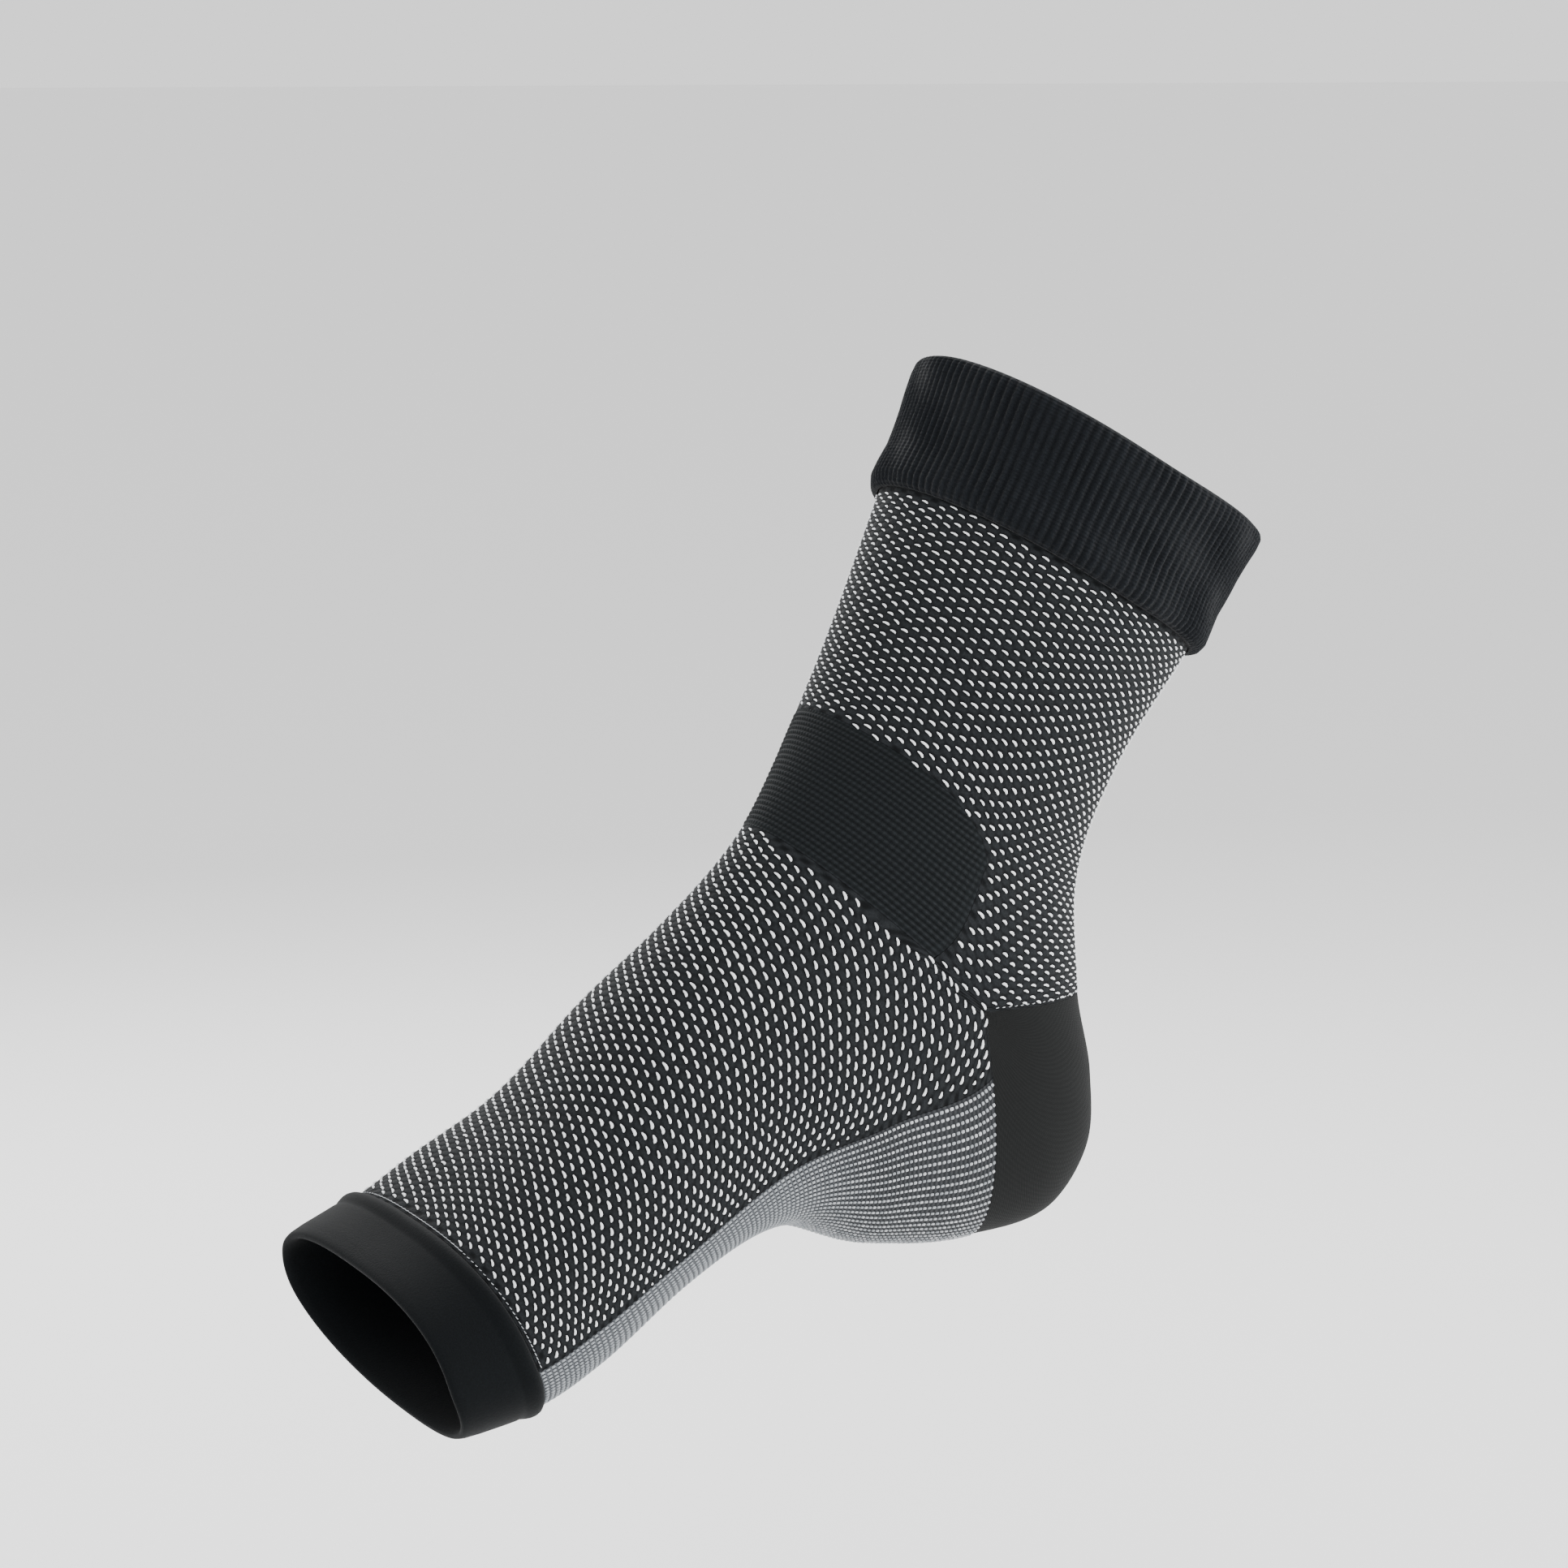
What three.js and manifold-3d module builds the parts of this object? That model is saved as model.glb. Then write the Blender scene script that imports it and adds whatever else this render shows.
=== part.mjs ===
import * as THREE from 'three';
import Module from 'manifold-3d';

// An open-toe knitted support sleeve for a right foot and ankle, in the shape it takes when worn:
// a ribbed cuff round the leg, a bare heel pocket, a ribbed panel under the arch and a smooth band
// behind the toes. Millimetres. The origin is the middle of the ankle joint, inside the hollow.
// Toes point to -X and down, the leg rises to +Z and leans to +X, and the arch side faces -Y.

const wasm = await Module();
wasm.setup();

// Sizes of the worn sleeve
const legRise = 100;        // ankle centre up to the cuff's hem, at the shin
const legReach = 70;        // ankle centre back to the cuff's hem, at the calf
const legWidth = 78;        // across the leg at the hem
const heelWidth = 66;       // across the heel and ankle bones
const heelReach = 44;       // ankle centre back to the rear of the heel
const heelDrop = 83.5;      // ankle centre down to the underside of the heel
const footReach = 137.5;    // ankle centre forward to the toe band, on top of the foot
const footDrop = 106;       // ankle centre down to the sole at the toe band
const ballWidth = 90;       // across the ball of the foot
const cuffHeight = 35;      // hem to rim of the cuff
const toeBandWidth = 19;    // along the foot

// Thicknesses and clearances
const knitWall = 1.5;       // single knit of the body, heel, arch and instep panel
const cuffProud = 3.0;      // the cuff's hem stands this far outside the body
const cuffLining = 1.4;     // the cuff's inner layer lies this far inside the leg surface
const bandProud = 1.0;      // the toe band's turned edge stands outside the body
const bandLining = 1.6;     // its inner layer
const gap = 0.3;            // between neighbouring pieces
const tuck = 6;             // length of body that runs up inside the cuff

// Counts of knitted courses, numbered from the cuff's hem down the front
const cornerCourse = 34.5;  // the course that turns the heel
const heelLength = 33.5;    // courses in the heel pocket, along its back line
const bandCourse = 84;      // the last course before the toe band
const bandCourses = 6;      // in the toe band
const cuffCourses = 14;     // in the cuff, counted up from its hem

// The instep panel, in courses above the heel's corner and in degrees round from the shin line
const panelHeight = 12;
const panelLift = 0.5;      // its lower edge above the corner course
const panelWidest = 87.5;
const panelCorner = 36;     // taken off at the upper edge by its round corner
const panelTaper = 15;      // taken off at the lower edge
const panelShoulder = 0.3;  // share of the panel's height that the round corner takes

// The arch panel's upper edge, in degrees round from the shin line
const archEdge = 105;

// Facets
const quarterFacets = 12;   // round a quarter of the sleeve
const legFacets = 10;       // down the leg
const heelFacets = 8;       // round the heel
const footFacets = 15;      // along the foot
const panelRows = 9;
const panelColumns = 24;

// Sections of the sleeve, each a ring through a front, a side and a back point of the limb's middle
// plane. x and z are shares of the reach and rise over the table, and inner and outer are the half
// widths towards the arch side and the outer side, as shares of the width over the table. The ring
// is rolled by some degrees, and its front and back halves are superellipses of the given powers.
// `at` runs from 0 at the hem to 1 at the heel's corner, or from the corner to the toe band.
const section = (at, front, side, back, inner, outer, roll, powers) =>
    ({ at, front, side, back, inner, outer, roll, powers });
const legSections = {
    reach: legReach, rise: legRise, width: legWidth,
    rows: [
        section(0, [-0.1, 1.036], [0.441, 0.792], [0.997, 0.588], 0.5, 0.5, 0, [2, 2]),
        section(0.35, [-0.3, 0.71], [0.229, 0.495], [0.709, 0.31], 0.462, 0.462, 0, [2, 2]),
        section(0.7, [-0.481, 0.46], [0.02, 0.16], [0.564, 0.05], 0.423, 0.423, 0, [2, 2.1])
    ]
};
const footSections = {
    reach: footReach, rise: footDrop, width: ballWidth,
    rows: [
        section(0.23, [-0.487, 0.018], [-0.19, -0.377], [-0.145, -0.775], 0.378, 0.4, 0, [2.1, 2.3]),
        section(0.475, [-0.636, -0.163], [-0.407, -0.5], [-0.36, -0.694], 0.4, 0.433, 2, [2.2, 2.3]),
        section(0.72, [-0.786, -0.386], [-0.655, -0.66], [-0.582, -0.776], 0.456, 0.478, 4, [2.3, 2.3]),
        section(0.88, [-0.905, -0.507], [-0.822, -0.758], [-0.755, -0.927], 0.482, 0.507, 6, [2.4, 2.3]),
        section(1, [-1, -0.607], [-0.935, -0.816], [-0.873, -1], 0.489, 0.511, 7, [2.5, 2.3])
    ]
};

// The heel's corner is the last leg section, and the heel turns about its two side points. Its back
// line runs from the pocket's upper edge round to the edge under the foot, as shares of the heel's
// reach and drop.
const heelBack = [[0.882, -0.259], [0.98, -0.538], [0.96, -0.775], [0.75, -0.933], [0.21, -1]];
const cornerSection = section(1, [-0.68, 0.22], [-0.01, -0.215], [0, 0], 0.5, 0.5, 0, [2, 2.3]);

// The cuff's rim and the toe band's open edge, as steps from the edge they grow from, in shares of
// the cuff's height and of the band's width
const cuffStep = { front: [0.37, 0.9], side: [0.46, 0.817], back: [0.563, 0.806], widen: 0.057 };
const bandStep = { front: [-0.87, -0.45], side: [-1.1, -0.29], back: [-1.06, -0.26], widen: -0.03 };

// Profiles of the cuff and the toe band: `along` is a share of the cuff's height from its hem, or of
// the band's width from the body, and `out` a share of how far that layer stands out or lies in
const cuffOuter = [
    { along: 0, out: 0.4 }, { along: 0.03, out: 0.8 }, { along: 0.09, out: 1 }, { along: 0.18, out: 0.88 },
    { along: 0.32, out: 0.62 }, { along: 0.6, out: 0.55 }, { along: 0.88, out: 0.66 },
    { along: 0.97, out: 0.55 }, { along: 1, out: 0.2 }
];
const cuffInner = [{ along: 1, out: 0.35 }, { along: 0.965, out: 1 }, { along: 0.6, out: 1 }];
const bandOuter = [
    { along: 0, out: 0.5 }, { along: 0.03, out: 1.4 }, { along: 0.13, out: 1.8 }, { along: 0.2, out: 1.4 },
    { along: 0.25, out: 0.9 }, { along: 0.29, out: 1.1 }, { along: 0.62, out: 1 }, { along: 0.93, out: 0.7 },
    { along: 1, out: 0.2 }
];
const bandInner = [
    { along: 1, out: 0.55 }, { along: 0.93, out: 1 }, { along: 0.5, out: 1 }, { along: 0, out: 0.94 }
];

// On the foot the columns of knitting crowd towards the top, by these degrees at shares of the way
// from the heel's corner to the toe band, so the arch panel's edge rises
const columnDrift = { at: [0, 0.23, 0.475, 0.72, 1.2], degrees: [[0], [-6], [-9.5], [-9.5], [-9.5]] };

// How softly a ring bends at its sides, and over how many courses the bend sharpens at the corner
const bendSoftness = 0.22;
const bendFade = 8;

// Material looks
const fabrics = {
    ankle_cuff: { color: 0x1b1e20, roughness: 0.88 },
    knit_body: { color: 0x5d6163, roughness: 0.9 },
    instep_panel: { color: 0x2a2d2f, roughness: 0.9 },
    heel_pocket: { color: 0x353533, roughness: 0.92 },
    arch_panel: { color: 0xaeb0b4, roughness: 0.9 },
    toe_band: { color: 0x15191b, roughness: 0.82 }
};

const radians = Math.PI / 180;

const columns = 4 * quarterFacets;
const rimCourse = bandCourse + bandCourses;
const courseAt = {
    leg: (at) => cornerCourse * at,
    foot: (at) => cornerCourse + (bandCourse - cornerCourse) * at
};

// A section as plain lengths: front x, z, side x, z, back x, z, inner, outer, roll and powers
function plainRow(row, reach, rise, width) {
    const spots = [row.front, row.side, row.back].flatMap(([x, z]) => [x * reach, z * rise]);
    return [...spots, row.inner * width, row.outer * width, row.roll, ...row.powers];
}

// A row that continues an edge by a step, for the cuff's rim and the toe band's open edge
function steppedRow(row, step, length) {
    const moved = [step.front, step.side, step.back].flat().map((share, k) => row[k] + share * length);
    return [...moved, row[6] + step.widen * length, row[7] + step.widen * length, ...row.slice(8)];
}

const legRows = legSections.rows.map((row) => plainRow(row, legReach, legRise, legWidth));
const footRows = footSections.rows.map((row) => plainRow(row, footReach, footDrop, ballWidth));
const cornerRow = plainRow(cornerSection, legReach, legRise, heelWidth);
const knots = {
    courses: [
        -cuffCourses, ...legSections.rows.map((row) => courseAt.leg(row.at)), cornerCourse,
        ...footSections.rows.map((row) => courseAt.foot(row.at)), rimCourse
    ],
    rows: [
        steppedRow(legRows[0], cuffStep, cuffHeight), ...legRows, cornerRow, ...footRows,
        steppedRow(footRows.at(-1), bandStep, toeBandWidth)
    ]
};

// The back line runs on through the heel, so it has knots of its own. In the heel they are spaced by
// distance.
const heelPoints = heelBack.map(([x, z]) => [x * heelReach, z * heelDrop]);
const heelAlong = [0];
for (let k = 1; k < heelPoints.length; k++) {
    const [x, z] = heelPoints[k];
    heelAlong.push(heelAlong[k - 1] + Math.hypot(x - heelPoints[k - 1][0], z - heelPoints[k - 1][1]));
}
const heelCourses = heelAlong.map((length) => cornerCourse + heelLength * length / heelAlong.at(-1));
const cornerKnot = knots.courses.indexOf(cornerCourse);
const backKnots = {
    courses: [
        ...knots.courses.slice(0, cornerKnot), ...heelCourses,
        ...knots.courses.slice(cornerKnot + 1).map((course) => course + heelLength)
    ],
    rows: [
        ...knots.rows.slice(0, cornerKnot).map((row) => row.slice(4, 6)), ...heelPoints,
        ...knots.rows.slice(cornerKnot + 1).map((row) => row.slice(4, 6))
    ]
};

// A smooth curve through rows of numbers at uneven knots
function spline(at, rows, where) {
    let k = 0;
    while (k < at.length - 2 && where > at[k + 1]) k++;
    const slope = (i, c) => (rows[i + 1][c] - rows[i][c]) / (at[i + 1] - at[i]);
    const tangent = (i, c) => {
        if (i === 0) return slope(0, c);
        if (i === at.length - 1) return slope(i - 1, c);
        const before = at[i] - at[i - 1];
        const after = at[i + 1] - at[i];
        return (slope(i - 1, c) * after + slope(i, c) * before) / (before + after);
    };
    const span = at[k + 1] - at[k];
    const t = (where - at[k]) / span;
    const weights = [
        2 * t ** 3 - 3 * t ** 2 + 1, (t ** 3 - 2 * t ** 2 + t) * span,
        3 * t ** 2 - 2 * t ** 3, (t ** 3 - t ** 2) * span
    ];
    return rows[k].map((value, c) => weights[0] * value + weights[1] * tangent(k, c)
        + weights[2] * rows[k + 1][c] + weights[3] * tangent(k + 1, c));
}

// The angle round the ring of a column that is some share of the way round
function ringAngle(course, share) {
    const down = (course - cornerCourse) / (bandCourse - cornerCourse);
    const drift = down <= 0 ? 0 : spline(columnDrift.at, columnDrift.degrees, down)[0];
    return 2 * Math.PI * share + drift * radians * Math.sin(2 * Math.PI * share);
}

// The point of the sleeve's outer surface on a course, a share of the way round from the shin line
// by way of the arch side. `back` is the course on the back line, which differs only in the heel.
function surfacePoint(course, share, back = course > cornerCourse ? course + heelLength : course) {
    const row = spline(knots.courses, knots.rows, course);
    const rear = spline(backKnots.courses, backKnots.rows, back);
    const [frontX, frontZ, sideX, sideZ, , , inner, outer, roll, frontPower, backPower] = row;
    const angle = ringAngle(course, share);
    const power = Math.cos(angle) >= 0 ? frontPower : backPower;
    const cos = Math.cos(angle);
    const sin = Math.sin(angle);
    const size = (Math.abs(cos) ** power + Math.abs(sin) ** power) ** (-1 / power);
    const forward = cos * size;
    const across = sin * size;
    const soft = bendSoftness * Math.min(1, Math.abs(course - cornerCourse) / bendFade);
    const reach = Math.hypot(forward, soft);
    const full = 1 + Math.hypot(1, soft);
    const toFront = (forward + reach) / full;
    const toBack = (reach - forward) / full;
    const y = -across * (across >= 0 ? inner : outer);
    const lift = y * Math.tan(roll * radians) / Math.hypot(frontX - rear[0], frontZ - rear[1]);
    const place = (front, side, behind) =>
        side + toFront * (front - side) + toBack * (behind - side) + lift * (front - behind);
    return new THREE.Vector3(place(frontX, sideX, rear[0]), y, place(frontZ, sideZ, rear[1]));
}

// The surface with its outward normal, from two small steps along it
const smallCourse = 0.05;
const smallShare = 0.0005;
function surfaceFrame(course, share) {
    const point = surfacePoint(course, share);
    const along = surfacePoint(course + smallCourse, share).sub(point);
    const round = surfacePoint(course, share + smallShare).sub(point);
    return { point, normal: along.cross(round).normalize() };
}

// A mesh from points and faces of three or four corners
function meshGeometry(points, faces) {
    const geometry = new THREE.BufferGeometry();
    const numbers = points.flatMap((point) => point.toArray());
    geometry.setAttribute('position', new THREE.Float32BufferAttribute(numbers, 3));
    geometry.setIndex(faces.flatMap((f) => (f.length === 3 ? f : [f[0], f[1], f[2], f[0], f[2], f[3]])));
    return geometry;
}

// The whole sock-shaped surface as one net: `cells` lists its faces with the zone each lies in
function sleeveNet() {
    const points = [];
    const cells = [];
    const archColumn = Math.round(columns * archEdge / 360);
    const ring = (course, back) => {
        const first = points.length;
        for (let j = 0; j < columns; j++) points.push(surfacePoint(course, j / columns, back));
        return Array.from({ length: columns }, (_, j) => first + j);
    };
    const addRow = (upper, lower, zoneOf) => {
        for (let j = 0; j < columns; j++) {
            const k = (j + 1) % columns;
            const corners = [...new Set([upper[j], lower[j], lower[k], upper[k]])];
            if (corners.length > 2) cells.push({ corners, zone: zoneOf(j) });
        }
    };
    const tuckCourse = -cuffCourses * tuck / cuffHeight;
    let upper = ring(tuckCourse);
    for (let k = 1; k <= legFacets; k++) {
        const lower = ring(tuckCourse + (cornerCourse - tuckCourse) * k / legFacets);
        addRow(upper, lower, () => 'body');
        upper = lower;
    }
    const inHeel = (j) => j > quarterFacets && j < columns - quarterFacets;
    for (let k = 1; k <= heelFacets; k++) {
        const turned = ring(cornerCourse, cornerCourse + heelLength * k / heelFacets);
        const lower = upper.map((id, j) => (inHeel(j) ? turned[j] : id));
        addRow(upper, lower, () => 'heel');
        upper = lower;
    }
    for (let k = 1; k <= footFacets; k++) {
        const lower = ring(courseAt.foot(k / footFacets));
        addRow(upper, lower, (j) => (j >= archColumn && j < columns - archColumn ? 'arch' : 'body'));
        upper = lower;
    }
    return { points, cells };
}

// Outward normals of a net, each the mean of the faces that meet there
function netNormals({ points, cells }) {
    const normals = points.map(() => new THREE.Vector3());
    for (const { corners } of cells) {
        const [a, b, c, d] = [0, 1, 2, 3].map((k) => points[corners[k % corners.length]]);
        const normal = corners.length === 4
            ? c.clone().sub(a).cross(d.clone().sub(b))
            : b.clone().sub(a).cross(c.clone().sub(a));
        corners.forEach((id) => normals[id].add(normal));
    }
    return normals.map((n) => n.normalize());
}

// A closed wall over some faces of a net. Its edges stand back by `inset`, and it reaches from
// `outside` above the surface to `inside` below it.
function wallOver(points, normals, faces, { inset = 0, outside = 0, inside = knitWall } = {}) {
    const key = (a, b) => `${a}_${b}`;
    const edges = new Map();
    for (const face of faces) {
        face.forEach((a, k) => {
            const b = face[(k + 1) % face.length];
            edges.set(key(a, b), [a, b]);
        });
    }
    const borders = [...edges.values()].filter(([a, b]) => !edges.has(key(b, a)));
    const inward = new Map();
    for (const [a, b] of borders) {
        const along = points[b].clone().sub(points[a]).normalize();
        for (const id of [a, b]) {
            const direction = normals[id].clone().cross(along).normalize();
            inward.set(id, [...(inward.get(id) ?? []), direction]);
        }
    }
    const shifted = points.map((p) => p.clone());
    for (const [id, [first, second]] of inward) {
        const mitre = first.clone().add(second).multiplyScalar(inset / (1 + first.dot(second)));
        shifted[id].add(mitre);
    }
    const used = [...new Set(faces.flat())];
    const renumbered = new Map(used.map((id, k) => [id, k]));
    const at = (id, height) => shifted[id].clone().addScaledVector(normals[id], height);
    const all = [...used.map((id) => at(id, outside)), ...used.map((id) => at(id, -inside))];
    const out = (id) => renumbered.get(id);
    const deep = (id) => renumbered.get(id) + used.length;
    const skin = faces.map((face) => face.map(out));
    const lining = faces.map((face) => {
        const turned = face.length === 4 ? [face[0], face[3], face[2], face[1]] : [face[0], face[2], face[1]];
        return turned.map(deep);
    });
    const rim = borders.map(([a, b]) => [out(b), out(a), deep(a), deep(b)]);
    return meshGeometry(all, [...skin, ...lining, ...rim]);
}

// The instep panel's half width, as a share of a whole turn, at a share of its height
function panelReach(down) {
    const corner = Math.max(0, (panelShoulder - down) / panelShoulder);
    const taper = Math.max(0, (down - panelShoulder) / (1 - panelShoulder));
    return (panelWidest - panelCorner * (1 - Math.sqrt(1 - corner ** 2)) - panelTaper * taper ** 1.15) / 360;
}

// The instep panel as a wall of its own, with its edges moved in by `inset`
function panelWall(options) {
    const points = [];
    const normals = [];
    const faces = [];
    const wide = panelColumns + 1;
    const top = cornerCourse - panelLift - panelHeight;
    for (let i = 0; i <= panelRows; i++) {
        const down = 0.5 - 0.5 * Math.cos(Math.PI * i / panelRows);
        for (let j = 0; j <= panelColumns; j++) {
            const share = panelReach(down) * (2 * j / panelColumns - 1);
            const { point, normal } = surfaceFrame(top + panelHeight * down, share);
            points.push(point);
            normals.push(normal);
        }
    }
    for (let i = 0; i < panelRows; i++) {
        for (let j = 0; j < panelColumns; j++) {
            const a = i * wide + j;
            faces.push([a, a + wide, a + wide + 1, a + 1]);
        }
    }
    return wallOver(points, normals, faces, options);
}

// A ring with the given closed profile of { course, height } round the sleeve
function ringWall(profile) {
    const points = [];
    const faces = [];
    const count = profile.length;
    for (let j = 0; j < columns; j++) {
        for (const { course, height } of profile) {
            const { point, normal } = surfaceFrame(course, j / columns);
            points.push(point.addScaledVector(normal, height));
        }
    }
    for (let j = 0; j < columns; j++) {
        const next = (j + 1) % columns;
        for (let i = 0; i < count; i++) {
            const after = (i + 1) % count;
            faces.push([j * count + i, j * count + after, next * count + after, next * count + i]);
        }
    }
    return meshGeometry(points, faces);
}

function cuffWall() {
    const layer = (profile, thickness) => profile.toReversed()
        .map(({ along, out }) => ({ course: -cuffCourses * along, height: out * thickness }));
    const ledge = -cuffCourses * (tuck + gap) / cuffHeight;
    return ringWall([
        { course: 0, height: gap },
        { course: ledge, height: gap },
        { course: ledge, height: -cuffLining },
        ...layer(cuffInner, -cuffLining),
        ...layer(cuffOuter, cuffProud)
    ]);
}

function toeBandWall() {
    const start = gap / 2 / toeBandWidth;
    const course = (along) => bandCourse + bandCourses * (start + along * (1 - start));
    const layer = (profile, thickness) =>
        profile.map(({ along, out }) => ({ course: course(along), height: out * thickness }));
    return ringWall([...layer(bandOuter, bandProud), ...layer(bandInner, -bandLining)]);
}

function toSolid(geometry) {
    return new wasm.Manifold(new wasm.Mesh({
        numProp: 3,
        vertProperties: new Float32Array(geometry.attributes.position.array),
        triVerts: new Uint32Array(geometry.index.array)
    }));
}

function toGeometry(solid) {
    const mesh = solid.getMesh();
    const geometry = new THREE.BufferGeometry();
    geometry.setAttribute('position', new THREE.BufferAttribute(new Float32Array(mesh.vertProperties), 3));
    geometry.setIndex(Array.from(mesh.triVerts));
    return geometry;
}

const net = sleeveNet();
const netOut = netNormals(net);
const zoneWall = (zone) => wallOver(net.points, netOut,
    net.cells.filter((cell) => cell.zone === zone).map((cell) => cell.corners), { inset: gap / 2 });

// The body is knitted round the instep panel, so the panel's place is cut through it
function bodyWall() {
    const place = panelWall({ inset: -gap / 2, outside: 2 * knitWall, inside: 3 * knitWall });
    return toGeometry(toSolid(zoneWall('body')).subtract(toSolid(place)));
}

const walls = {
    ankle_cuff: cuffWall(),
    knit_body: bodyWall(),
    instep_panel: panelWall({ inset: gap / 2 }),
    heel_pocket: zoneWall('heel'),
    arch_panel: zoneWall('arch'),
    toe_band: toeBandWall()
};

const sleeve = new THREE.Group();
for (const [name, geometry] of Object.entries(walls)) {
    const mesh = new THREE.Mesh(geometry, new THREE.MeshStandardMaterial({ ...fabrics[name], metalness: 0 }));
    mesh.name = name;
    sleeve.add(mesh);
}

export default sleeve;
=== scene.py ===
import math

import bpy
import numpy as np
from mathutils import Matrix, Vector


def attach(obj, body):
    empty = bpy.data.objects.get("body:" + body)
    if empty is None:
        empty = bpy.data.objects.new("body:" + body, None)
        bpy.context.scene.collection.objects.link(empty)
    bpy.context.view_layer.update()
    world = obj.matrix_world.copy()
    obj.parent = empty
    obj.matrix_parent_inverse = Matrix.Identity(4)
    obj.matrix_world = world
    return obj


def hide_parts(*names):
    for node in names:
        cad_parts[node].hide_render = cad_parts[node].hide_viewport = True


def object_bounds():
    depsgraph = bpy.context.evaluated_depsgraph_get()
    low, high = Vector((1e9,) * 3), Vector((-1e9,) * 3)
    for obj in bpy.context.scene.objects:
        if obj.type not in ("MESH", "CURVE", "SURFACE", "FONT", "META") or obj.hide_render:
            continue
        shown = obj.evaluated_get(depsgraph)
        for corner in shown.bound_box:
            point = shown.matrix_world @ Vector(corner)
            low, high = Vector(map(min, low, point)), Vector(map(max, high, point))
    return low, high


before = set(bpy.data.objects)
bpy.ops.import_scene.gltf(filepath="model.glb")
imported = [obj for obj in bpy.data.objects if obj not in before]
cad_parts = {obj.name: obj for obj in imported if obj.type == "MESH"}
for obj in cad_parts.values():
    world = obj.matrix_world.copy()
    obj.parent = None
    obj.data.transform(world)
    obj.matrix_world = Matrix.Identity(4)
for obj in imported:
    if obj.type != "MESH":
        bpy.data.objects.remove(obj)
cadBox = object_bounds()
print("frame loaded:", ", ".join(sorted(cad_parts)))

# An open-toe knitted sleeve for a right foot and ankle, in the shape it takes when worn.
# Metres. Its toe end points to -X and down, its leg rises to +Z, and its arch side faces -Y.

# Camera at the photo's angle, placed so that the ankle's centre falls on its pixel

cameraSetup = {
    "azimuth": -28,              # degrees, turned from looking along +Y
    "elevation": 8,              # degrees, looking down
    "distance": 1.3,             # from the ankle's centre along the view
    "focalPixels": 6500,
    "framePixels": 1932,
    "anklePixel": (1135, 1115),
    "sensor": 36,                # mm
}


def addCamera():
    turn = math.radians(cameraSetup["azimuth"])
    rise = math.radians(cameraSetup["elevation"])
    forward = np.array([-math.sin(turn) * math.cos(rise), math.cos(turn) * math.cos(rise), -math.sin(rise)])
    right = np.array([math.cos(turn), math.sin(turn), 0])
    up = np.cross(right, forward)
    middle = cameraSetup["framePixels"] / 2
    perPixel = cameraSetup["distance"] / cameraSetup["focalPixels"]
    across = (cameraSetup["anklePixel"][0] - middle) * perPixel
    above = (middle - cameraSetup["anklePixel"][1]) * perPixel
    place = -(right * across + up * above + forward * cameraSetup["distance"])
    bpy.ops.object.camera_add(location=place, rotation=(math.pi / 2 - rise, 0, turn))
    camera = bpy.context.active_object
    camera.data.sensor_width = cameraSetup["sensor"]
    camera.data.lens = cameraSetup["focalPixels"] / cameraSetup["framePixels"] * cameraSetup["sensor"]
    bpy.context.scene.camera = camera


addCamera()

# The sleeve's form: the same sizes, sections and knit coordinates as its solids. A place on the
# cloth is a course, counted down from the cuff's hem, and a share of the way round from the front
# by way of the arch side.

form = {
    "legRise": 0.100,
    "legReach": 0.070,
    "legWidth": 0.078,
    "heelWidth": 0.066,
    "heelReach": 0.044,
    "heelDrop": 0.0835,
    "footReach": 0.1375,
    "footDrop": 0.106,
    "ballWidth": 0.090,
    "cuffHeight": 0.035,
    "bandWidth": 0.019,
    "wall": 0.0015,
    "tuck": 0.006,               # body cloth that runs up inside the cuff
    "cornerCourse": 34.5,        # turns the heel
    "heelCourses": 33.5,
    "bandCourse": 84,
    "bandCourses": 6,
    "cuffCourses": 14,
    "columns": 84,               # in which places round the sleeve are counted
    "bendSoftness": 0.22,
    "bendFade": 8,
    "archEdge": 105 / 360,       # share at which the arch panel starts
    "edgeGap": 0.04,             # courses, or hundredths of a turn, left clear between two panels
}


# One section of the leg or the foot: how far along it lies, its front, side and back points as shares
# of the reach and the rise, its half widths on the arch side and the other as shares of the width, its
# roll in degrees, and the powers that square off its front and its back
def section(at, front, side, back, inner, outer, roll, powers):
    return [at, *front, *side, *back, inner, outer, roll, *powers]


legSections = [
    section(0, [-0.1, 1.036], [0.441, 0.792], [0.997, 0.588], 0.5, 0.5, 0, [2, 2]),
    section(0.35, [-0.3, 0.71], [0.229, 0.495], [0.709, 0.31], 0.462, 0.462, 0, [2, 2]),
    section(0.7, [-0.481, 0.46], [0.02, 0.16], [0.564, 0.05], 0.423, 0.423, 0, [2, 2.1]),
]
cornerSection = section(1, [-0.68, 0.22], [-0.01, -0.215], [0, 0], 0.5, 0.5, 0, [2, 2.3])
footSections = [
    section(0.23, [-0.487, 0.018], [-0.19, -0.377], [-0.145, -0.775], 0.378, 0.4, 0, [2.1, 2.3]),
    section(0.475, [-0.636, -0.163], [-0.407, -0.5], [-0.36, -0.694], 0.4, 0.433, 2, [2.2, 2.3]),
    section(0.72, [-0.786, -0.386], [-0.655, -0.66], [-0.582, -0.776], 0.456, 0.478, 4, [2.3, 2.3]),
    section(0.88, [-0.905, -0.507], [-0.822, -0.758], [-0.755, -0.927], 0.482, 0.507, 6, [2.4, 2.3]),
    section(1, [-1, -0.607], [-0.935, -0.816], [-0.873, -1], 0.489, 0.511, 7, [2.5, 2.3]),
]

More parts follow.
